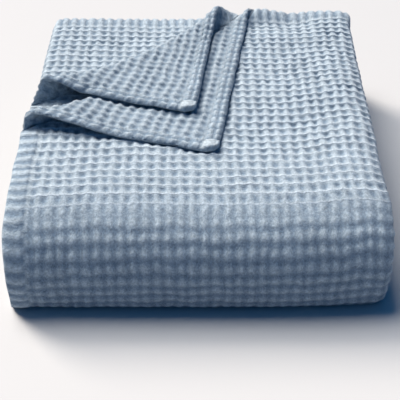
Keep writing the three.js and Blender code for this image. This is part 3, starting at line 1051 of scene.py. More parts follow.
edge_points = place[fine_loop[:-1]]
edge_out = np.concatenate(outward)[fine_loop[:-1]]
tangent = np.roll(edge_points, -1, axis=0) - np.roll(edge_points, 1, axis=0)
sideways = unit(np.cross(tangent, edge_out))
inside = corner_places(first_corner, np.full(1, HEM_WIDTH), np.full(1, HEM_WIDTH), None)[0]
if sideways[0] @ (inside - tip) > 0:
    sideways = -sideways
edge_cells = np.concatenate(cells)[fine_loop[:-1]]
rim = add_points(
    edge_points - edge_out * HALF_SHEET + sideways * RIM_BULGE,
    sideways,
    edge_cells[:, 0],
    edge_cells[:, 1],
    0,
    np.zeros((len(edge_points), 3)),
)
rim = rim + rim[:1]
for k in range(len(rim) - 1):
    faces.append((fine_loop[k], fine_loop[k + 1], rim[k + 1], rim[k]))
zip_strip(rim, plain_loop, all_points())
print("rim points:", len(rim) - 1, "triangles in all:", sum(len(face) - 2 for face in faces))

# %% [markdown]
# ## The cloth as a mesh
# The points become one closed mesh, in metres. Its places in the weave, its hems and the way each point
# faces go with it as attributes, so that Geometry Nodes and the material can follow the cloth.

# %% Cloth mesh
# The solid is centred on the middle of its box, so the sheet is moved by as much
BOX_MIDDLE = np.array([-0.28, 1.84, 0.0])


def cloth_mesh():
    mesh = bpy.data.meshes.new("blanket_cloth")
    mesh.from_pydata(((all_points() - BOX_MIDDLE) * MM).tolist(), [], faces)
    for name, blocks in (("cell", cells), ("out", outward), ("hem", hems)):
        layer = mesh.attributes.new(name, "FLOAT_VECTOR", "POINT")
        layer.data.foreach_set("vector", np.concatenate(blocks).astype(np.float32).ravel())
    shape = bmesh.new()
    shape.from_mesh(mesh)
    bmesh.ops.recalc_face_normals(shape, faces=shape.faces)
    shape.to_mesh(mesh)
    shape.free()
    mesh.polygons.foreach_set("use_smooth", np.ones(len(mesh.polygons), bool))
    mesh.update()
    return mesh


cloth = add_object("blanket_cloth", cloth_mesh())
print("cloth mesh:", len(cloth.data.vertices), "points,", len(cloth.data.polygons), "faces")

# %% [markdown]
# ## Colours and nodes
# Colours are written as on a screen and turned to the linear values that the renderer works with. One
# helper adds a node to any tree, with its settings, and with its inputs either set or linked. The others
# start a material, start and end a Geometry Nodes tree, and turn what a tree makes into a plain mesh.


# %% Colours and nodes
def linear(hex_colour):
    """A linear colour with alpha from an sRGB hex value."""
    channels = [int(hex_colour[k:k + 2], 16) / 255 for k in (1, 3, 5)]
    return (*[c / 12.92 if c <= 0.04045 else ((c + 0.055) / 1.055) ** 2.4 for c in channels], 1.0)


def add_node(tree, kind, inputs=(), **settings):
    """Adds a node; inputs pairs a socket's name or number with a value or with a socket to link."""
    made = tree.nodes.new(kind)
    for name, value in settings.items():
        setattr(made, name, value)
    for socket, value in dict(inputs).items():
        if isinstance(value, bpy.types.NodeSocket):
            tree.links.new(value, made.inputs[socket])
        else:
            made.inputs[socket].default_value = value
    return made


def new_material(name):
    """A material with an empty node tree."""
    material = bpy.data.materials.new(name)
    material.use_nodes = True
    material.node_tree.nodes.clear()
    return material


def new_tree(name, inputs):
    """A Geometry Nodes tree with a geometry, named numbers and a material as its inputs."""
    tree = bpy.data.node_groups.new(name, "GeometryNodeTree")
    tree.interface.new_socket("Geometry", in_out="INPUT", socket_type="NodeSocketGeometry")
    for socket in inputs:
        tree.interface.new_socket(socket, in_out="INPUT", socket_type="NodeSocketFloat")
    tree.interface.new_socket("Material", in_out="INPUT", socket_type="NodeSocketMaterial")
    tree.interface.new_socket("Geometry", in_out="OUTPUT", socket_type="NodeSocketGeometry")
    return tree


def end_tree(tree, geometry, material):
    real = add_node(tree, "GeometryNodeRealizeInstances", {"Geometry": geometry}).outputs[0]
    dressed = add_node(tree, "GeometryNodeSetMaterial", {"Geometry": real, "Material": material}).outputs[0]
    add_node(tree, "NodeGroupOutput", {"Geometry": dressed})
    return tree


def run_nodes(piece, tree, values, material):
    """Gives a piece a node tree with its inputs set, and turns the result into a plain mesh."""
    modifier = piece.modifiers.new(tree.name, "NODES")
    modifier.node_group = tree
    for item in tree.interface.items_tree:
        if item.name in values:
            modifier[item.identifier] = values[item.name]
        elif item.name == "Material":
            modifier[item.identifier] = material
    seen = piece.evaluated_get(bpy.context.evaluated_depsgraph_get())
    made = bpy.data.meshes.new_from_object(seen)
    made.name = piece.name
    piece.modifiers.remove(modifier)
    piece.data = made
    return piece


print("a middle blue in linear light:", np.round(linear("#8fa9c2"), 3).tolist())

# %% [markdown]
# ## Floats and drawn wells
# The long floats of yarn on the ridges show as a thin raised line, which is gone where the cloth is pulled,
# hemmed or turned over; the paler colour of that line is partly a painted highlight. Deep in the pack and at
# its back the sheet is too coarse for real wells, so a bump draws them there and the colour paints their
# shade.

# %% Floats and drawn wells
FLOAT_LINE = 0.14
CROSS_FLOAT = 0.15
FLOATS_FROM = -0.8
DRAWN_FROM = 0.05
DRAWN_TO = 0.4
DRAWN_SHADE_PALEST = 0.2
DRAWN_SHADE_DEEPEST = 0.7
BARE_RELIEF = 0.3


def float_lines(tree, counts, hem):
    """A line along each ridge, weaker on the cross ridges; it raises the floats and paints their highlight.
    """
    lines = []
    for count, strength in ((counts["X"], CROSS_FLOAT), (counts["Y"], 1.0)):
        away = add_node(tree, "ShaderNodeMath", {0: count, 1: 0.5}, operation="PINGPONG").outputs[0]
        lines.append(add_node(tree, "ShaderNodeMapRange", {
            "Value": away, "From Max": FLOAT_LINE, "To Min": strength, "To Max": 0.0},
            interpolation_type="SMOOTHSTEP").outputs["Result"])
    floats = add_node(tree, "ShaderNodeMath", {0: lines[0], 1: lines[1]}, operation="MAXIMUM").outputs[0]
    unhemmed = add_node(tree, "ShaderNodeMath", {0: 1.0, 1: hem}, operation="SUBTRACT").outputs[0]
    slack = add_node(tree, "ShaderNodeMapRange", {
        "Value": counts["Z"], "From Min": FLOATS_FROM, "From Max": 0.0}).outputs[0]
    upper = add_node(tree, "ShaderNodeMath", {
        0: 1.0, 1: counts["Z"]}, operation="SUBTRACT", use_clamp=True).outputs[0]
    for share in (unhemmed, slack, upper):
        floats = add_node(tree, "ShaderNodeMath", {0: floats, 1: share}, operation="MULTIPLY").outputs[0]
    return floats


def drawn_wells(tree, counts, relief, pit):
    """Draws wells on faces with no pressed relief; returns their painted shade for the colour and their depth
    for the bump.
    """
    wells = []
    for count in (counts["X"], counts["Y"]):
        away = add_node(tree, "ShaderNodeMath", {0: count, 1: 0.5}, operation="PINGPONG").outputs[0]
        wells.append(add_node(tree, "ShaderNodeMapRange", {
            "Value": away, "From Min": DRAWN_FROM, "From Max": DRAWN_TO},
            interpolation_type="SMOOTHSTEP").outputs["Result"])
    drawn = add_node(tree, "ShaderNodeMath", {0: wells[0], 1: wells[1]}, operation="MULTIPLY").outputs[0]
    bare = add_node(tree, "ShaderNodeMapRange", {
        "Value": relief, "From Max": BARE_RELIEF, "To Min": 1.0, "To Max": 0.0}).outputs["Result"]
    depth = add_node(tree, "ShaderNodeMath", {0: drawn, 1: bare}, operation="MULTIPLY").outputs[0]
    # The painted shade of the drawn wells, deepest in their middles.
    tone = add_node(tree, "ShaderNodeMapRange", {
        "Value": drawn, "To Min": DRAWN_SHADE_PALEST, "To Max": DRAWN_SHADE_DEEPEST}).outputs["Result"]
    pit = add_node(tree, "ShaderNodeMix", {"Factor": bare, "A": pit, "B": tone}).outputs["Result"]
    return pit, depth


print("the floats' lines are", round(2 * FLOAT_LINE * CELL_ALONG, 1), "mm wide")

# %% [markdown]
# ## Colour of the cotton
# The yarn is dyed before it is woven, and washing fades it unevenly. The ridges are rubbed a little paler,
# with a painted highlight on their floats, and the wells keep the deeper blue, which is also painted shade.
# The underside of the turned corners is painted a little darker as painted shade. Over that lie soft clouds
# from the wash and small flecks of uneven yarn. The patterns are counted per cell, and a cell is about 12 mm,
# so they follow the cloth.

# %% Colour of the cotton
RIDGE_BLUE = "#a5b4bf"
# The wells' deeper blue is partly wear and partly painted shade in the wells.
WELL_WEAR_AND_SHADE_BLUE = "#6b7f92"
# The paler floats on the ridges are partly rubbed yarn and partly a painted highlight.
FLOAT_AND_HIGHLIGHT_BLUE = "#bccad5"
CORNER_BLUE = "#a9b7c1"
FLOAT_AND_HIGHLIGHT_PALENESS = 0.55
# The underside of the turned corners is painted darker, as painted shade.
UNDERSIDE_PAINTED_SHADE = 0.96
NOISE_LOW = 0.3
NOISE_HIGH = 0.7
YARN_WEAR = 0.2
WASH_CLOUDS = 0.4
WASH_DARKEST = 0.94
WASH_PALEST = 1.05
FLECKS_PER_CELL = 5.0
FLECK_DARKEST = 0.74
FLECK_PALEST = 1.26


def cotton_tone(tree, cell, form, patch, floats, pit, yarn):
    """The colour: paler on the ridges, partly a painted highlight; deeper in the wells, partly painted shade;
    painted shade on the underside; a little uneven from washing.
    """
    worn = add_node(tree, "ShaderNodeMapRange", {
        "Value": yarn, "From Min": NOISE_LOW, "From Max": NOISE_HIGH, "To Min": -YARN_WEAR,
        "To Max": YARN_WEAR}).outputs["Result"]
    # How far the colour goes to the well blue: the well depth as painted shade, with random wear added.
    depth = add_node(tree, "ShaderNodeMath", {0: pit, 1: worn}, operation="ADD", use_clamp=True).outputs[0]
    # The floats' line is painted paler: partly rubbed yarn, partly a painted highlight on the ridge crests.
    rubbed_and_highlight = add_node(tree, "ShaderNodeMath", {0: floats, 1: FLOAT_AND_HIGHLIGHT_PALENESS}, operation="MULTIPLY").outputs[0]
    blue = linear(RIDGE_BLUE)
    for share, other in ((depth, WELL_WEAR_AND_SHADE_BLUE), (patch, CORNER_BLUE), (rubbed_and_highlight, FLOAT_AND_HIGHLIGHT_BLUE)):
        blue = add_node(tree, "ShaderNodeMix", {
            "Factor": share, "A": blue, "B": linear(other)}, data_type="RGBA").outputs["Result"]
    wash = add_node(tree, "ShaderNodeTexNoise", {
        "Vector": cell, "Scale": WASH_CLOUDS, "Detail": 2.0}).outputs["Fac"]
    fleck = add_node(tree, "ShaderNodeTexNoise", {
        "Vector": cell, "Scale": FLECKS_PER_CELL, "Detail": 2.0, "Roughness": 0.7}).outputs["Fac"]
    # Painted shade on the underside first, then the random wash clouds and flecks.
    shade = add_node(tree, "ShaderNodeMapRange", {
        "Value": form, "To Min": 1.0, "To Max": UNDERSIDE_PAINTED_SHADE}).outputs["Result"]
    for noise, darkest, palest in ((wash, WASH_DARKEST, WASH_PALEST), (fleck, FLECK_DARKEST, FLECK_PALEST)):
        uneven = add_node(tree, "ShaderNodeMapRange", {
            "Value": noise, "From Min": NOISE_LOW, "From Max": NOISE_HIGH, "To Min": darkest,
            "To Max": palest}).outputs["Result"]
        shade = add_node(tree, "ShaderNodeMath", {0: shade, 1: uneven}, operation="MULTIPLY").outputs[0]
    return add_node(tree, "ShaderNodeVectorMath", {
        0: blue, "Scale": shade}, operation="SCALE").outputs["Vector"]


print("blues from ridge to well:", RIDGE_BLUE, "to", WELL_WEAR_AND_SHADE_BLUE)

# %% [markdown]
# ## Cotton
# Washed waffle cotton is a dry, matt surface to the eye, with a faint pale fuzz at glancing angles. Yarns
# lie less than a millimetre apart and their fibres are finer still, too fine to show in the picture. So
# both are drawn as coarse as they need to show, with grains about 1.4 mm wide.

# %% Cotton
YARNS_PER_CELL = 8.0
FUZZ_PER_MM = 0.7
FUZZ_SCALE = FUZZ_PER_MM / MM
FLOAT_HEIGHT = 0.45
YARN_HEIGHT = 0.9
FUZZ_HEIGHT = 0.35
DRAWN_DEPTH = 1.9


def cotton_material():
    material = new_material("washed_waffle_cotton")
    tree = material.node_tree
    cell, weave, hem = [
        add_node(tree, "ShaderNodeAttribute", attribute_name=name).outputs["Vector"]
        for name in ("cell", "weave", "hem")
    ]
    place = add_node(tree, "ShaderNodeTexCoord").outputs["Object"]
    counts = add_node(tree, "ShaderNodeSeparateXYZ", {0: cell}).outputs
    pit, patch, in_hem = add_node(tree, "ShaderNodeSeparateXYZ", {0: weave}).outputs
    relief = add_node(tree, "ShaderNodeSeparateXYZ", {0: hem}).outputs["Z"]
    yarn = add_node(tree, "ShaderNodeTexNoise", {
        "Vector": cell, "Scale": YARNS_PER_CELL, "Detail": 3.0, "Roughness": 0.65}).outputs["Fac"]
    fuzz = add_node(tree, "ShaderNodeTexNoise", {
        "Vector": place, "Scale": FUZZ_SCALE, "Detail": 2.0, "Roughness": 0.6}).outputs["Fac"]
    floats = float_lines(tree, counts, in_hem)
    pit, drawn_depth = drawn_wells(tree, counts, relief, pit)
    tone = cotton_tone(tree, cell, counts["Z"], patch, floats, pit, yarn)

    # Fine height in millimetres, then the surface itself
    height = 0.0
    for part, tall in ((floats, FLOAT_HEIGHT), (yarn, YARN_HEIGHT), (fuzz, FUZZ_HEIGHT),
                       (drawn_depth, -DRAWN_DEPTH)):
        height = add_node(tree, "ShaderNodeMath", {
            0: part, 1: tall, 2: height}, operation="MULTIPLY_ADD").outputs[0]
    normal = add_node(tree, "ShaderNodeBump", {
        "Height": height, "Strength": 1.0, "Distance": MM}).outputs["Normal"]
    surface = add_node(tree, "ShaderNodeBsdfPrincipled", {
        "Base Color": tone, "Roughness": 0.95, "Specular IOR Level": 0.15, "Sheen Weight": 0.2,
        "Sheen Roughness": 0.5, "Normal": normal})
    add_node(tree, "ShaderNodeOutputMaterial", {"Surface": surface.outputs["BSDF"]})
    return material


cotton = cotton_material()
print("material:", cotton.name, "with", len(cotton.node_tree.nodes), "nodes")

# %% [markdown]
# ## Wells and ridges
# On the loom, long floats of yarn stand up as ridges and the plain weave between them sinks into wells. A
# Geometry Nodes tree presses that relief into the sheet, and the next cells add it step by step. The first
# step tells how deep a point lies, from 0 on a ridge to 1 in the middle of its well. A noise lets the cells
# stray from an even grid. Round the front, where the cloth is pulled, the wells are shallow and the ridges
# sag between their crossings. Where the underside shows, the ridges sink between the crossings, which
# stand up as bumps.

# %% Wells and ridges
STRAY = 0.52
STRAYS_PER_CELL = 0.75
RIDGE_HALF = 0.03
CROSS_RIDGE_HALF = 0.08
WELL_HALF = 0.44
PULLED_DIP = 0.0
PULLED_SAG = 1.0
PULLED_CROSSING = 0.75
PULLED_WELL = 0.6
TURNED_DIP = 0.62
TURNED_SAG = 0.38


def cell_wells(tree, given, cell, form):
    """Distances to the ridges and walls of the wells, each across and along, and the depth in a well."""
    drift = add_node(tree, "ShaderNodeTexNoise", {
        "Vector": cell, "Scale": STRAYS_PER_CELL, "Detail": 1.0}).outputs["Color"]
    drift = add_node(tree, "ShaderNodeVectorMath", {
        0: drift, 1: (0.5, 0.5, 0.5)}, operation="SUBTRACT").outputs[0]
    drift = add_node(tree, "ShaderNodeVectorMath", {0: drift, "Scale": STRAY}, operation="SCALE").outputs[0]
    strayed = add_node(tree, "ShaderNodeVectorMath", {0: cell, 1: drift}, operation="ADD").outputs[0]
    strayed = add_node(tree, "ShaderNodeSeparateXYZ", {0: strayed}).outputs
    halves = []
    walls = []
    for axis, ridge in (("X", CROSS_RIDGE_HALF), ("Y", RIDGE_HALF)):
        half = add_node(tree, "ShaderNodeMath", {0: strayed[axis], 1: 0.5}, operation="PINGPONG").outputs[0]
        halves.append(half)
        walls.append(add_node(tree, "ShaderNodeMapRange", {
            "Value": half, "From Min": ridge, "From Max": WELL_HALF},
            interpolation_type="SMOOTHSTEP").outputs[0])
    levels = []
    for pulled, slack in ((PULLED_DIP, given["Cross Ridge Dip"]), (PULLED_SAG, given["Ridge Sag"]),
                          (PULLED_CROSSING, 0.0), (PULLED_WELL, 1.0)):
        levels.append(add_node(tree, "ShaderNodeMapRange", {
            "Value": form, "From Min": -1.0, "From Max": 0.0, "To Min": pulled, "To Max": slack}).outputs[0])
    dip, sag, crossing, middle = levels
    dip = add_node(tree, "ShaderNodeMix", {"Factor": form, "A": dip, "B": TURNED_DIP}).outputs[0]
    sag = add_node(tree, "ShaderNodeMix", {"Factor": form, "A": sag, "B": TURNED_SAG}).outputs[0]
    on_ridge = add_node(tree, "ShaderNodeMapRange", {
        "Value": walls[0], "To Min": crossing, "To Max": sag}).outputs[0]
    in_well = add_node(tree, "ShaderNodeMapRange", {
        "Value": walls[0], "To Min": dip, "To Max": middle}).outputs[0]
    well = add_node(tree, "ShaderNodeMix", {"Factor": walls[1], "A": on_ridge, "B": in_well}).outputs[0]
    return halves, walls, well


print("wells reach", WELL_HALF, "of a cell from their ridges")

# %% [markdown]
# ## Rows and lumps of the hems
# A hem is doubled cloth, pressed and stitched. On the face, only the rows that cross a hem go on over it,
# and none where two hems cross. On the underside a hem has soft lumps instead, two of them in its width.

# %% Rows and lumps of the hems
HEM_ROWS = 0.9
LUMP_HALF = 0.4
LUMPS_IN_HEM = 2.0


def hem_pits(tree, given, counts, hem, halves, walls, well):
    """The depth with the hems in it; hem holds the shares of side hem, end hem, either and both."""
    side, end, either, both = hem
    single = add_node(tree, "ShaderNodeMath", {0: either, 1: both}, operation="SUBTRACT").outputs[0]
    rows = add_node(tree, "ShaderNodeMix", {"Factor": end, "A": walls[1], "B": walls[0]}).outputs[0]
    rows = add_node(tree, "ShaderNodeMath", {0: rows, 1: single}, operation="MULTIPLY").outputs[0]
    rows = add_node(tree, "ShaderNodeMath", {0: rows, 1: HEM_ROWS}, operation="MULTIPLY").outputs[0]
    pit = add_node(tree, "ShaderNodeMix", {"Factor": either, "A": well, "B": rows}).outputs[0]

    lumps = []
    for share, count, half in ((side, counts["X"], halves[0]), (end, counts["Y"], halves[1])):
        more = add_node(tree, "ShaderNodeMath", {0: count, 1: LUMPS_IN_HEM}, operation="MULTIPLY").outputs[0]
        narrow = add_node(tree, "ShaderNodeMath", {0: more, 1: 0.5}, operation="PINGPONG").outputs[0]
        near = add_node(tree, "ShaderNodeMix", {"Factor": share, "A": half, "B": narrow}).outputs[0]
        lumps.append(add_node(tree, "ShaderNodeMapRange", {
            "Value": near, "From Max": LUMP_HALF}, interpolation_type="SMOOTHSTEP").outputs[0])
    dome = add_node(tree, "ShaderNodeMath", {0: lumps[0], 1: lumps[1]}, operation="MULTIPLY").outputs[0]
    gap = add_node(tree, "ShaderNodeMath", {0: 1.0, 1: dome}, operation="SUBTRACT").outputs[0]
    gap = add_node(tree, "ShaderNodeMath", {0: gap, 1: given["Lump Fullness"]}, operation="POWER").outputs[0]
    uncrossed = add_node(tree, "ShaderNodeMath", {0: 1.0, 1: both}, operation="SUBTRACT").outputs[0]
    gap = add_node(tree, "ShaderNodeMath", {0: gap, 1: uncrossed}, operation="MULTIPLY").outputs[0]
    lumpy = add_node(tree, "ShaderNodeMath", {0: counts["Z"], 1: either}, operation="MULTIPLY").outputs[0]
    return add_node(tree, "ShaderNodeMix", {"Factor": lumpy, "A": pit, "B": gap}).outputs[0]


print("a lump in a hem is", HEM_WIDTH / LUMPS_IN_HEM, "mm wide")

# %% [markdown]
# ## Puff of the hems
# The doubled cloth of a hem puffs up between its edge and its seam, which is sunk. On the underside the
# puff swells and dips in blocks. Small beads line the borders of every hem, and where two hems cross, four
# layers make a thick pillow.

# %% Puff of the hems
BLOCK_CELLS = 1.75
BLOCK_DIP = 0.5
BLOCK_HALF = 0.3
BLOCK_STRAYS = 0.6
BEADS_PER_CELL = 2.0
BEAD_FULL = 0.04
BEAD_END = 0.12
ARCH_TOP = 0.25
PUFF_FULL = 0.16
SEAM_SHARPNESS = 4.0


def hem_blocks(tree, given, counts, end):
    """Along a hem: how full its puff is, and how high its beads stand."""
    run = add_node(tree, "ShaderNodeMix", {"Factor": end, "A": counts["Y"], "B": counts["X"]}).outputs[0]
    stray = add_node(tree, "ShaderNodeTexNoise", {
        "W": run, "Scale": BLOCK_STRAYS, "Detail": 0.0}, noise_dimensions="1D").outputs["Fac"]
    place = add_node(tree, "ShaderNodeMath", {0: run, 1: BLOCK_CELLS}, operation="DIVIDE").outputs[0]
    place = add_node(tree, "ShaderNodeMath", {0: place, 1: stray}, operation="ADD").outputs[0]
    block = add_node(tree, "ShaderNodeMath", {0: place, 1: 0.5}, operation="PINGPONG").outputs[0]
    block = add_node(tree, "ShaderNodeMapRange", {
        "Value": block, "From Max": BLOCK_HALF, "To Min": 1.0 - BLOCK_DIP},
        interpolation_type="SMOOTHSTEP").outputs[0]
    block = add_node(tree, "ShaderNodeMix", {"Factor": counts["Z"], "A": 1.0, "B": block}).outputs[0]
    bead = add_node(tree, "ShaderNodeMath", {0: run, 1: BEADS_PER_CELL}, operation="MULTIPLY").outputs[0]
    bead = add_node(tree, "ShaderNodeMath", {0: bead, 1: 0.5}, operation="PINGPONG").outputs[0]
    bead = add_node(tree, "ShaderNodeMapRange", {"Value": bead, "From Max": 0.5}).outputs[0]
    bead = add_node(tree, "ShaderNodeMath", {0: bead, 1: given["Hem Beads"]}, operation="MULTIPLY").outputs[0]
    return block, bead


def hem_puff(tree, given, counts, hem, height):
    """The height with puff, beads and seams added, and the share of the pillow where two hems cross."""
    side, end, _, both = hem
    block, bead = hem_blocks(tree, given, counts, end)
    puffs = []
    arches = []
    for share, count in ((side, counts["X"]), (end, counts["Y"])):
        rest = add_node(tree, "ShaderNodeMath", {0: 1.0, 1: count}, operation="SUBTRACT").outputs[0]
        arch = add_node(tree, "ShaderNodeMath", {0: count, 1: rest}, operation="MULTIPLY").outputs[0]
        arches.append(add_node(tree, "ShaderNodeMapRange", {"Value": arch, "From Max": ARCH_TOP}).outputs[0])
        puff = add_node(tree, "ShaderNodeMapRange", {"Value": arch, "From Max": PUFF_FULL}).outputs[0]
        puffs.append(add_node(tree, "ShaderNodeMath", {0: puff, 1: share}, operation="MULTIPLY").outputs[0])
        border = add_node(tree, "ShaderNodeMapRange", {
            "Value": arch, "From Min": BEAD_FULL, "From Max": BEAD_END, "To Min": 1.0,
            "To Max": 0.0}).outputs[0]
        border = add_node(tree, "ShaderNodeMath", {0: border, 1: share}, operation="MULTIPLY").outputs[0]
        height = add_node(tree, "ShaderNodeMath", {
            0: border, 1: bead, 2: height}, operation="MULTIPLY_ADD").outputs[0]
        seam = add_node(tree, "ShaderNodeMath", {0: 1.0, 1: share}, operation="SUBTRACT").outputs[0]
        for factor in (share, SEAM_SHARPNESS, given["Seam Sink"]):
            seam = add_node(tree, "ShaderNodeMath", {0: seam, 1: factor}, operation="MULTIPLY").outputs[0]
        height = add_node(tree, "ShaderNodeMath", {0: height, 1: seam}, operation="SUBTRACT").outputs[0]
    puff = add_node(tree, "ShaderNodeMath", {0: puffs[0], 1: puffs[1]}, operation="MAXIMUM").outputs[0]
    puff = add_node(tree, "ShaderNodeMath", {0: puff, 1: block}, operation="MULTIPLY").outputs[0]
    pillow = add_node(tree, "ShaderNodeMath", {0: arches[0], 1: arches[1]}, operation="MULTIPLY").outputs[0]
    pillow = add_node(tree, "ShaderNodeMath", {0: pillow, 1: both}, operation="MULTIPLY").outputs[0]
    for share, tall in ((puff, given["Hem Puff"]), (pillow, given["Corner Raise"])):
        height = add_node(tree, "ShaderNodeMath", {
            0: share, 1: tall, 2: height}, operation="MULTIPLY_ADD").outputs[0]
    return height, pillow


print("puffed blocks are about", round(BLOCK_CELLS * CELL_ALONG), "mm long")

# %% [markdown]
# ## Depth and lumps
# No two cells of washed cloth are alike. Each has a depth of its own, by a fixed chance, and the cells in
# the hems are pressed shallow. Soft lumps, weaker in the wells, and a fine grain lie over them all.

# %% Depth and lumps
SHALLOWEST = 0.42
DEEPEST = 1.15
TURNED_FLATTENING = 0.35
LUMPS_PER_CELL = 1.7
LUMPS_IN_WELLS = 0.4
HEM_LUMPS = 2.0
GRAIN = 0.5
GRAIN_PER_CELL = 4.3


def well_height(tree, given, cell, form, either, pit):
    """The height over the sheet, from the depth in a well."""
    number = add_node(tree, "ShaderNodeVectorMath", {0: cell}, operation="FLOOR").outputs[0]
    chance = add_node(tree, "ShaderNodeTexWhiteNoise", {
        "Vector": number, "W": given["Seed"]}, noise_dimensions="4D").outputs["Value"]
    own = add_node(tree, "ShaderNodeMapRange", {
        "Value": chance, "To Min": SHALLOWEST, "To Max": DEEPEST}).outputs[0]
    pressing = add_node(tree, "ShaderNodeMapRange", {
        "Value": form, "To Min": given["Hem Flattening"], "To Max": TURNED_FLATTENING}).outputs[0]
    pressed = add_node(tree, "ShaderNodeMath", {0: either, 1: pressing}, operation="MULTIPLY").outputs[0]
    kept = add_node(tree, "ShaderNodeMath", {0: 1.0, 1: pressed}, operation="SUBTRACT").outputs[0]
    deep = add_node(tree, "ShaderNodeMath", {0: given["Well Depth"], 1: own}, operation="MULTIPLY").outputs[0]
    deep = add_node(tree, "ShaderNodeMath", {0: deep, 1: kept}, operation="MULTIPLY").outputs[0]
    deep = add_node(tree, "ShaderNodeMath", {0: deep, 1: given["Ridge Proud"]}, operation="ADD").outputs[0]
    sunk = add_node(tree, "ShaderNodeMath", {0: pit, 1: deep}, operation="MULTIPLY").outputs[0]
    return add_node(tree, "ShaderNodeMath", {
        0: given["Ridge Proud"], 1: sunk}, operation="SUBTRACT").outputs[0]


def washed_lumps(tree, given, cell, either, pit, height):
    """The height with the lumps and the grain of washed cloth."""
    lump = add_node(tree, "ShaderNodeTexNoise", {
        "Vector": cell, "W": given["Seed"], "Scale": LUMPS_PER_CELL, "Detail": 1.0},
        noise_dimensions="4D").outputs["Fac"]
    lump = add_node(tree, "ShaderNodeMath", {0: lump, 1: 0.5}, operation="SUBTRACT").outputs[0]
    for share, most in ((pit, LUMPS_IN_WELLS), (either, HEM_LUMPS)):
        factor = add_node(tree, "ShaderNodeMapRange", {
            "Value": share, "To Min": 1.0, "To Max": most}).outputs[0]
        lump = add_node(tree, "ShaderNodeMath", {0: lump, 1: factor}, operation="MULTIPLY").outputs[0]
    grain = add_node(tree, "ShaderNodeTexNoise", {
        "Vector": cell, "Scale": GRAIN_PER_CELL, "Detail": 0.0}).outputs["Fac"]
    grain = add_node(tree, "ShaderNodeMath", {0: grain, 1: 0.5}, operation="SUBTRACT").outputs[0]
    for uneven, tall in ((lump, given["Lumps"]), (grain, 2 * GRAIN * MM)):
        height = add_node(tree, "ShaderNodeMath", {
            0: uneven, 1: tall, 2: height}, operation="MULTIPLY_ADD").outputs[0]
    return height


print("cells are", SHALLOWEST, "to", DEEPEST, "of the full depth")

# %% [markdown]
# ## Waffle relief
# The tree joins these steps, with the sizes as its inputs. Every point moves along the way it faces, by the
# height worked out from its place in its cell. How deep it lies, whether two hems cross there and whether
# it is in a hem are kept for the material.

# %% Waffle relief
WELL_DEPTH = 2.1
RIDGE_PROUD = 1.0
CROSS_RIDGE_DIP = 0.25
RIDGE_SAG = 0.2
LUMP_FULLNESS = 1.15
LUMPS = 1.15
HEM_FLATTENING = 0.5
HEM_PUFF = 2.0
HEM_BEADS = 1.6
SEAM_SINK = 1.3
CORNER_RAISE = 1.2
WEAVE_SEED = 7.0
PATCH_FROM = 0.02
PATCH_FULL = 0.2
WEAVE_INPUTS = {
    "Well Depth": WELL_DEPTH * MM,
    "Ridge Proud": RIDGE_PROUD * MM,
    "Cross Ridge Dip": CROSS_RIDGE_DIP,
    "Ridge Sag": RIDGE_SAG,
    "Lump Fullness": LUMP_FULLNESS,
    "Lumps": LUMPS * MM,
    "Hem Flattening": HEM_FLATTENING,
    "Hem Puff": HEM_PUFF * MM,
    "Hem Beads": HEM_BEADS * MM,
    "Seam Sink": SEAM_SINK * MM,
    "Corner Raise": CORNER_RAISE * MM,
    "Seed": WEAVE_SEED,
}


def waffle_tree():
    tree = new_tree("waffle_relief", WEAVE_INPUTS)
    given = add_node(tree, "NodeGroupInput").outputs
    cell, hem, out = [
        add_node(tree, "GeometryNodeInputNamedAttribute", {"Name": name}, data_type="FLOAT_VECTOR").outputs[0]
        for name in ("cell", "hem", "out")
    ]
    counts = add_node(tree, "ShaderNodeSeparateXYZ", {0: cell}).outputs
    side, end, relief = add_node(tree, "ShaderNodeSeparateXYZ", {0: hem}).outputs
    either = add_node(tree, "ShaderNodeMath", {0: side, 1: end}, operation="MAXIMUM").outputs[0]
    both = add_node(tree, "ShaderNodeMath", {0: side, 1: end}, operation="MULTIPLY").outputs[0]
    shares = (side, end, either, both)
    halves, walls, well = cell_wells(tree, given, cell, counts["Z"])
    pit = hem_pits(tree, given, counts, shares, halves, walls, well)
    height = well_height(tree, given, cell, counts["Z"], either, pit)
    height, pillow = hem_puff(tree, given, counts, shares, height)
    height = washed_lumps(tree, given, cell, either, pit, height)
    height = add_node(tree, "ShaderNodeMath", {0: height, 1: relief}, operation="MULTIPLY").outputs[0]
    offset = add_node(tree, "ShaderNodeVectorMath", {0: out, "Scale": height}, operation="SCALE").outputs[0]
    moved = add_node(tree, "GeometryNodeSetPosition", {
        "Geometry": given["Geometry"], "Offset": offset}).outputs[0]
    patch = add_node(tree, "ShaderNodeMapRange", {
        "Value": pillow, "From Min": PATCH_FROM, "From Max": PATCH_FULL}).outputs[0]
    weave = add_node(tree, "ShaderNodeCombineXYZ", {"X": pit, "Y": patch, "Z": either}).outputs[0]
    noted = add_node(tree, "GeometryNodeStoreNamedAttribute", {
        "Geometry": moved, "Name": "weave", "Value": weave},
        data_type="FLOAT_VECTOR", domain="POINT").outputs[0]
    return end_tree(tree, noted, given["Material"])


run_nodes(cloth, waffle_tree(), WEAVE_INPUTS, cotton)
print("woven cloth:", len(cloth.data.polygons), "faces, materials", [m.name for m in cloth.data.materials])

# %% [markdown]
# ## Hem stitches
# The hems are held by one line of lockstitch, a hem's width in from the edge. Only the lines that show
# are sewn here: down the left hem of the top ply, and along both hems of each turned corner. Each line is
# a chain of points, and Geometry Nodes lays a small thread bead at every step along it.

# %% Hem stitches
STITCH_STEP = 4.2
STITCH_SIZE = (1.7, 0.55, 0.45)
STITCH_SINK = 0.7
SEAM_POINTS = 2.0
SEAM_FROM_LOOP = 6
SEAM_FROM_FLOOR = 4
SEAM_FROM_TIP = 3.0
SEAM_SHARE = 0.88
STITCH_BLUE = "#95a4b0"
STITCH_INPUTS = {"Step": STITCH_STEP * MM}


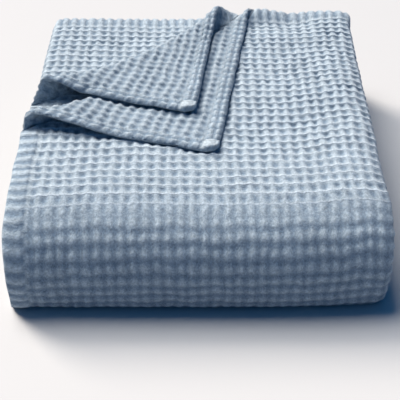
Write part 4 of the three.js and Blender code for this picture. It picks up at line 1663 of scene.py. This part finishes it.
def thread_material():
    """Spun cotton thread: matt like the cloth, a little smoother and paler."""
    material = new_material("cotton_sewing_thread")
    tree = material.node_tree
    place = add_node(tree, "ShaderNodeTexCoord").outputs["Object"]
    twist = add_node(tree, "ShaderNodeTexNoise", {
        "Vector": place, "Scale": FUZZ_SCALE, "Detail": 2.0}).outputs["Fac"]
    rough = add_node(tree, "ShaderNodeMapRange", {
        "Value": twist, "To Min": 0.75, "To Max": 0.95}).outputs["Result"]
    surface = add_node(tree, "ShaderNodeBsdfPrincipled", {
        "Base Color": linear(STITCH_BLUE), "Roughness": rough, "Specular IOR Level": 0.2})
    add_node(tree, "ShaderNodeOutputMaterial", {"Surface": surface.outputs["BSDF"]})
    return material


def left_hem_line():
    """Places and facings down the left hem of the top ply, as far as it shows."""
    t = np.arange(LEFT_AT[1] + SEAM_FROM_LOOP, ROLL_END - SEAM_FROM_FLOOR, SEAM_POINTS)
    station = flat_stations(1, [HEM_WIDTH - TOP_HEM])
    x = np.full(len(t), station["x"][0]) + sideways_shift(t)
    skins = []
    for skin in (1, -1):
        depth = station["depth"][0] + skin * HALF_SHEET * station["nd"][0] / ply_spacing(t)
        skins.append(settle(x, *along_cloth(t, depth, station["short"][0])))
    return skins[0], skins[0] - skins[1]


def corner_hem_lines(corner, below):
    """Places and facings along both hems of a turned corner, up to its loop."""
    lines = []
    for on_left, leg in zip((True, False), corner_legs(corner)):
        seam_end = leg * (SEAM_SHARE - HEM_WIDTH / min(corner_legs(corner)))
        away = np.arange(SEAM_FROM_TIP, seam_end, SEAM_POINTS)
        hem = np.full(len(away), float(HEM_WIDTH))
        a, b = (away, hem) if on_left else (hem, away)
        place = corner_places(corner, a, b, below)
        step_a = corner_places(corner, a + PROBE_ON, b, below) - place
        step_b = corner_places(corner, a, b + PROBE_ON, below) - place
        out = unit(np.cross(step_b, step_a))
        lines.append((place + out * HALF_SHEET, out))
    return lines


def stitch_tree():
    tree = new_tree("stitch_line", STITCH_INPUTS)
    given = add_node(tree, "NodeGroupInput").outputs
    curve = add_node(tree, "GeometryNodeMeshToCurve", {"Mesh": given["Geometry"]}).outputs[0]
    even = add_node(tree, "GeometryNodeResampleCurve", {
        "Curve": curve, "Length": given["Step"]}, mode="LENGTH").outputs[0]
    bead = add_node(tree, "GeometryNodeMeshUVSphere", {
        "Segments": 8, "Rings": 5, "Radius": 1.0}).outputs["Mesh"]
    soft = add_node(tree, "GeometryNodeSetShadeSmooth", {"Geometry": bead}).outputs[0]
    small = add_node(tree, "GeometryNodeTransform", {
        "Geometry": soft, "Scale": [size * MM for size in STITCH_SIZE]}).outputs[0]
    run = add_node(tree, "GeometryNodeInputTangent").outputs[0]
    out = add_node(tree, "GeometryNodeInputNamedAttribute", {
        "Name": "out"}, data_type="FLOAT_VECTOR").outputs[0]
    turned = add_node(tree, "FunctionNodeAxesToRotation", {
        "Primary Axis": run, "Secondary Axis": out}, primary_axis="X", secondary_axis="Z").outputs[0]
    sewn = add_node(tree, "GeometryNodeInstanceOnPoints", {
        "Points": even, "Instance": small, "Rotation": turned}).outputs[0]
    return end_tree(tree, sewn, given["Material"])


def stitch_mesh():
    lines = [left_hem_line()]
    lines += corner_hem_lines(first_corner, None)
    lines += corner_hem_lines(second_corner, first_corner)
    places = []
    facings = []
    edges = []
    for place, out in lines:
        facing = unit(out)
        first = sum(len(block) for block in places)
        edges += [(k, k + 1) for k in range(first, first + len(place) - 1)]
        places.append(place - facing * STITCH_SINK - BOX_MIDDLE)
        facings.append(facing)
    mesh = bpy.data.meshes.new("hem_stitches")
    mesh.from_pydata((np.concatenate(places) * MM).tolist(), edges, [])
    layer = mesh.attributes.new("out", "FLOAT_VECTOR", "POINT")
    layer.data.foreach_set("vector", np.concatenate(facings).astype(np.float32).ravel())
    return mesh


stitches = add_object("hem_stitches", stitch_mesh())
run_nodes(stitches, stitch_tree(), STITCH_INPUTS, thread_material())
print("stitches:", len(stitches.data.polygons), "faces")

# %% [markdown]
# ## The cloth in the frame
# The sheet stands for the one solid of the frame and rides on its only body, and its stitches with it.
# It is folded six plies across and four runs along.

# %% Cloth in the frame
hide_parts("blanket")
for piece in (cloth, stitches):
    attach(piece, "root")

# %% [markdown]
# ## Floor and light
# A pale floor fills the picture. Two soft, far lights stand behind the stack and to its left, one high and
# one lower, so the top is bright, each ridge has a lit back and a shaded front, and the front roll falls
# into shade. A faint blue sky fills the shade, which gives the front its deep blue.

# %% Floor and light
FLOOR_HALF = 25.0
FLOOR_WHITE = "#babcbe"
MOTTLES_PER_METRE = 6.0


def floor_material():
    """Matt white studio board: an even pale ground with a soft contact shadow."""
    material = new_material("matt_white_floor")
    tree = material.node_tree
    place = add_node(tree, "ShaderNodeTexCoord").outputs["Object"]
    mottle = add_node(tree, "ShaderNodeTexNoise", {
        "Vector": place, "Scale": MOTTLES_PER_METRE, "Detail": 3.0}).outputs["Fac"]
    rough = add_node(tree, "ShaderNodeMapRange", {
        "Value": mottle, "To Min": 0.6, "To Max": 0.7}).outputs["Result"]
    surface = add_node(tree, "ShaderNodeBsdfPrincipled", {
        "Base Color": linear(FLOOR_WHITE), "Roughness": rough, "Specular IOR Level": 0.3})
    add_node(tree, "ShaderNodeOutputMaterial", {"Surface": surface.outputs["BSDF"]})
    return material


floor_mesh = bpy.data.meshes.new("studio_floor")
floor_corners = [(-1, -1), (1, -1), (1, 1), (-1, 1)]
floor_mesh.from_pydata([(x * FLOOR_HALF, y * FLOOR_HALF, 0.0) for x, y in floor_corners], [], [(0, 1, 2, 3)])
floor = add_object("studio_floor", floor_mesh)
floor.data.materials.append(floor_material())

# Soft far lights: where they come from, how wide they look in degrees, strength in W/m2 and colour
LIGHTS = [
    {"name": "over_and_behind", "from": (-2.2, 2.1, 5.9), "width": 36.0,
     "strength": 3.4, "colour": "#fff8f0"},
    {"name": "low_behind", "from": (-3.6, 3.2, 3.5), "width": 22.0,
     "strength": 4.45, "colour": "#fff1e2"},
]
for spec in LIGHTS:
    lamp = bpy.data.lights.new(spec["name"], "SUN")
    lamp.angle = math.radians(spec["width"])
    lamp.energy = spec["strength"]
    lamp.color = linear(spec["colour"])[:3]
    light = add_object(spec["name"], lamp)
    light.location = spec["from"]
    light.rotation_euler = (-light.location).to_track_quat("-Z", "Y").to_euler()

SKY_BLUE = "#52acff"
SKY_STRENGTH = 0.22
world = bpy.data.worlds.new("soft_studio")
world.use_nodes = True
world.node_tree.nodes["Background"].inputs["Color"].default_value = linear(SKY_BLUE)
world.node_tree.nodes["Background"].inputs["Strength"].default_value = SKY_STRENGTH
bpy.context.scene.world = world
bpy.context.scene.view_settings.view_transform = "Standard"
print("lights:", [spec["name"] for spec in LIGHTS])
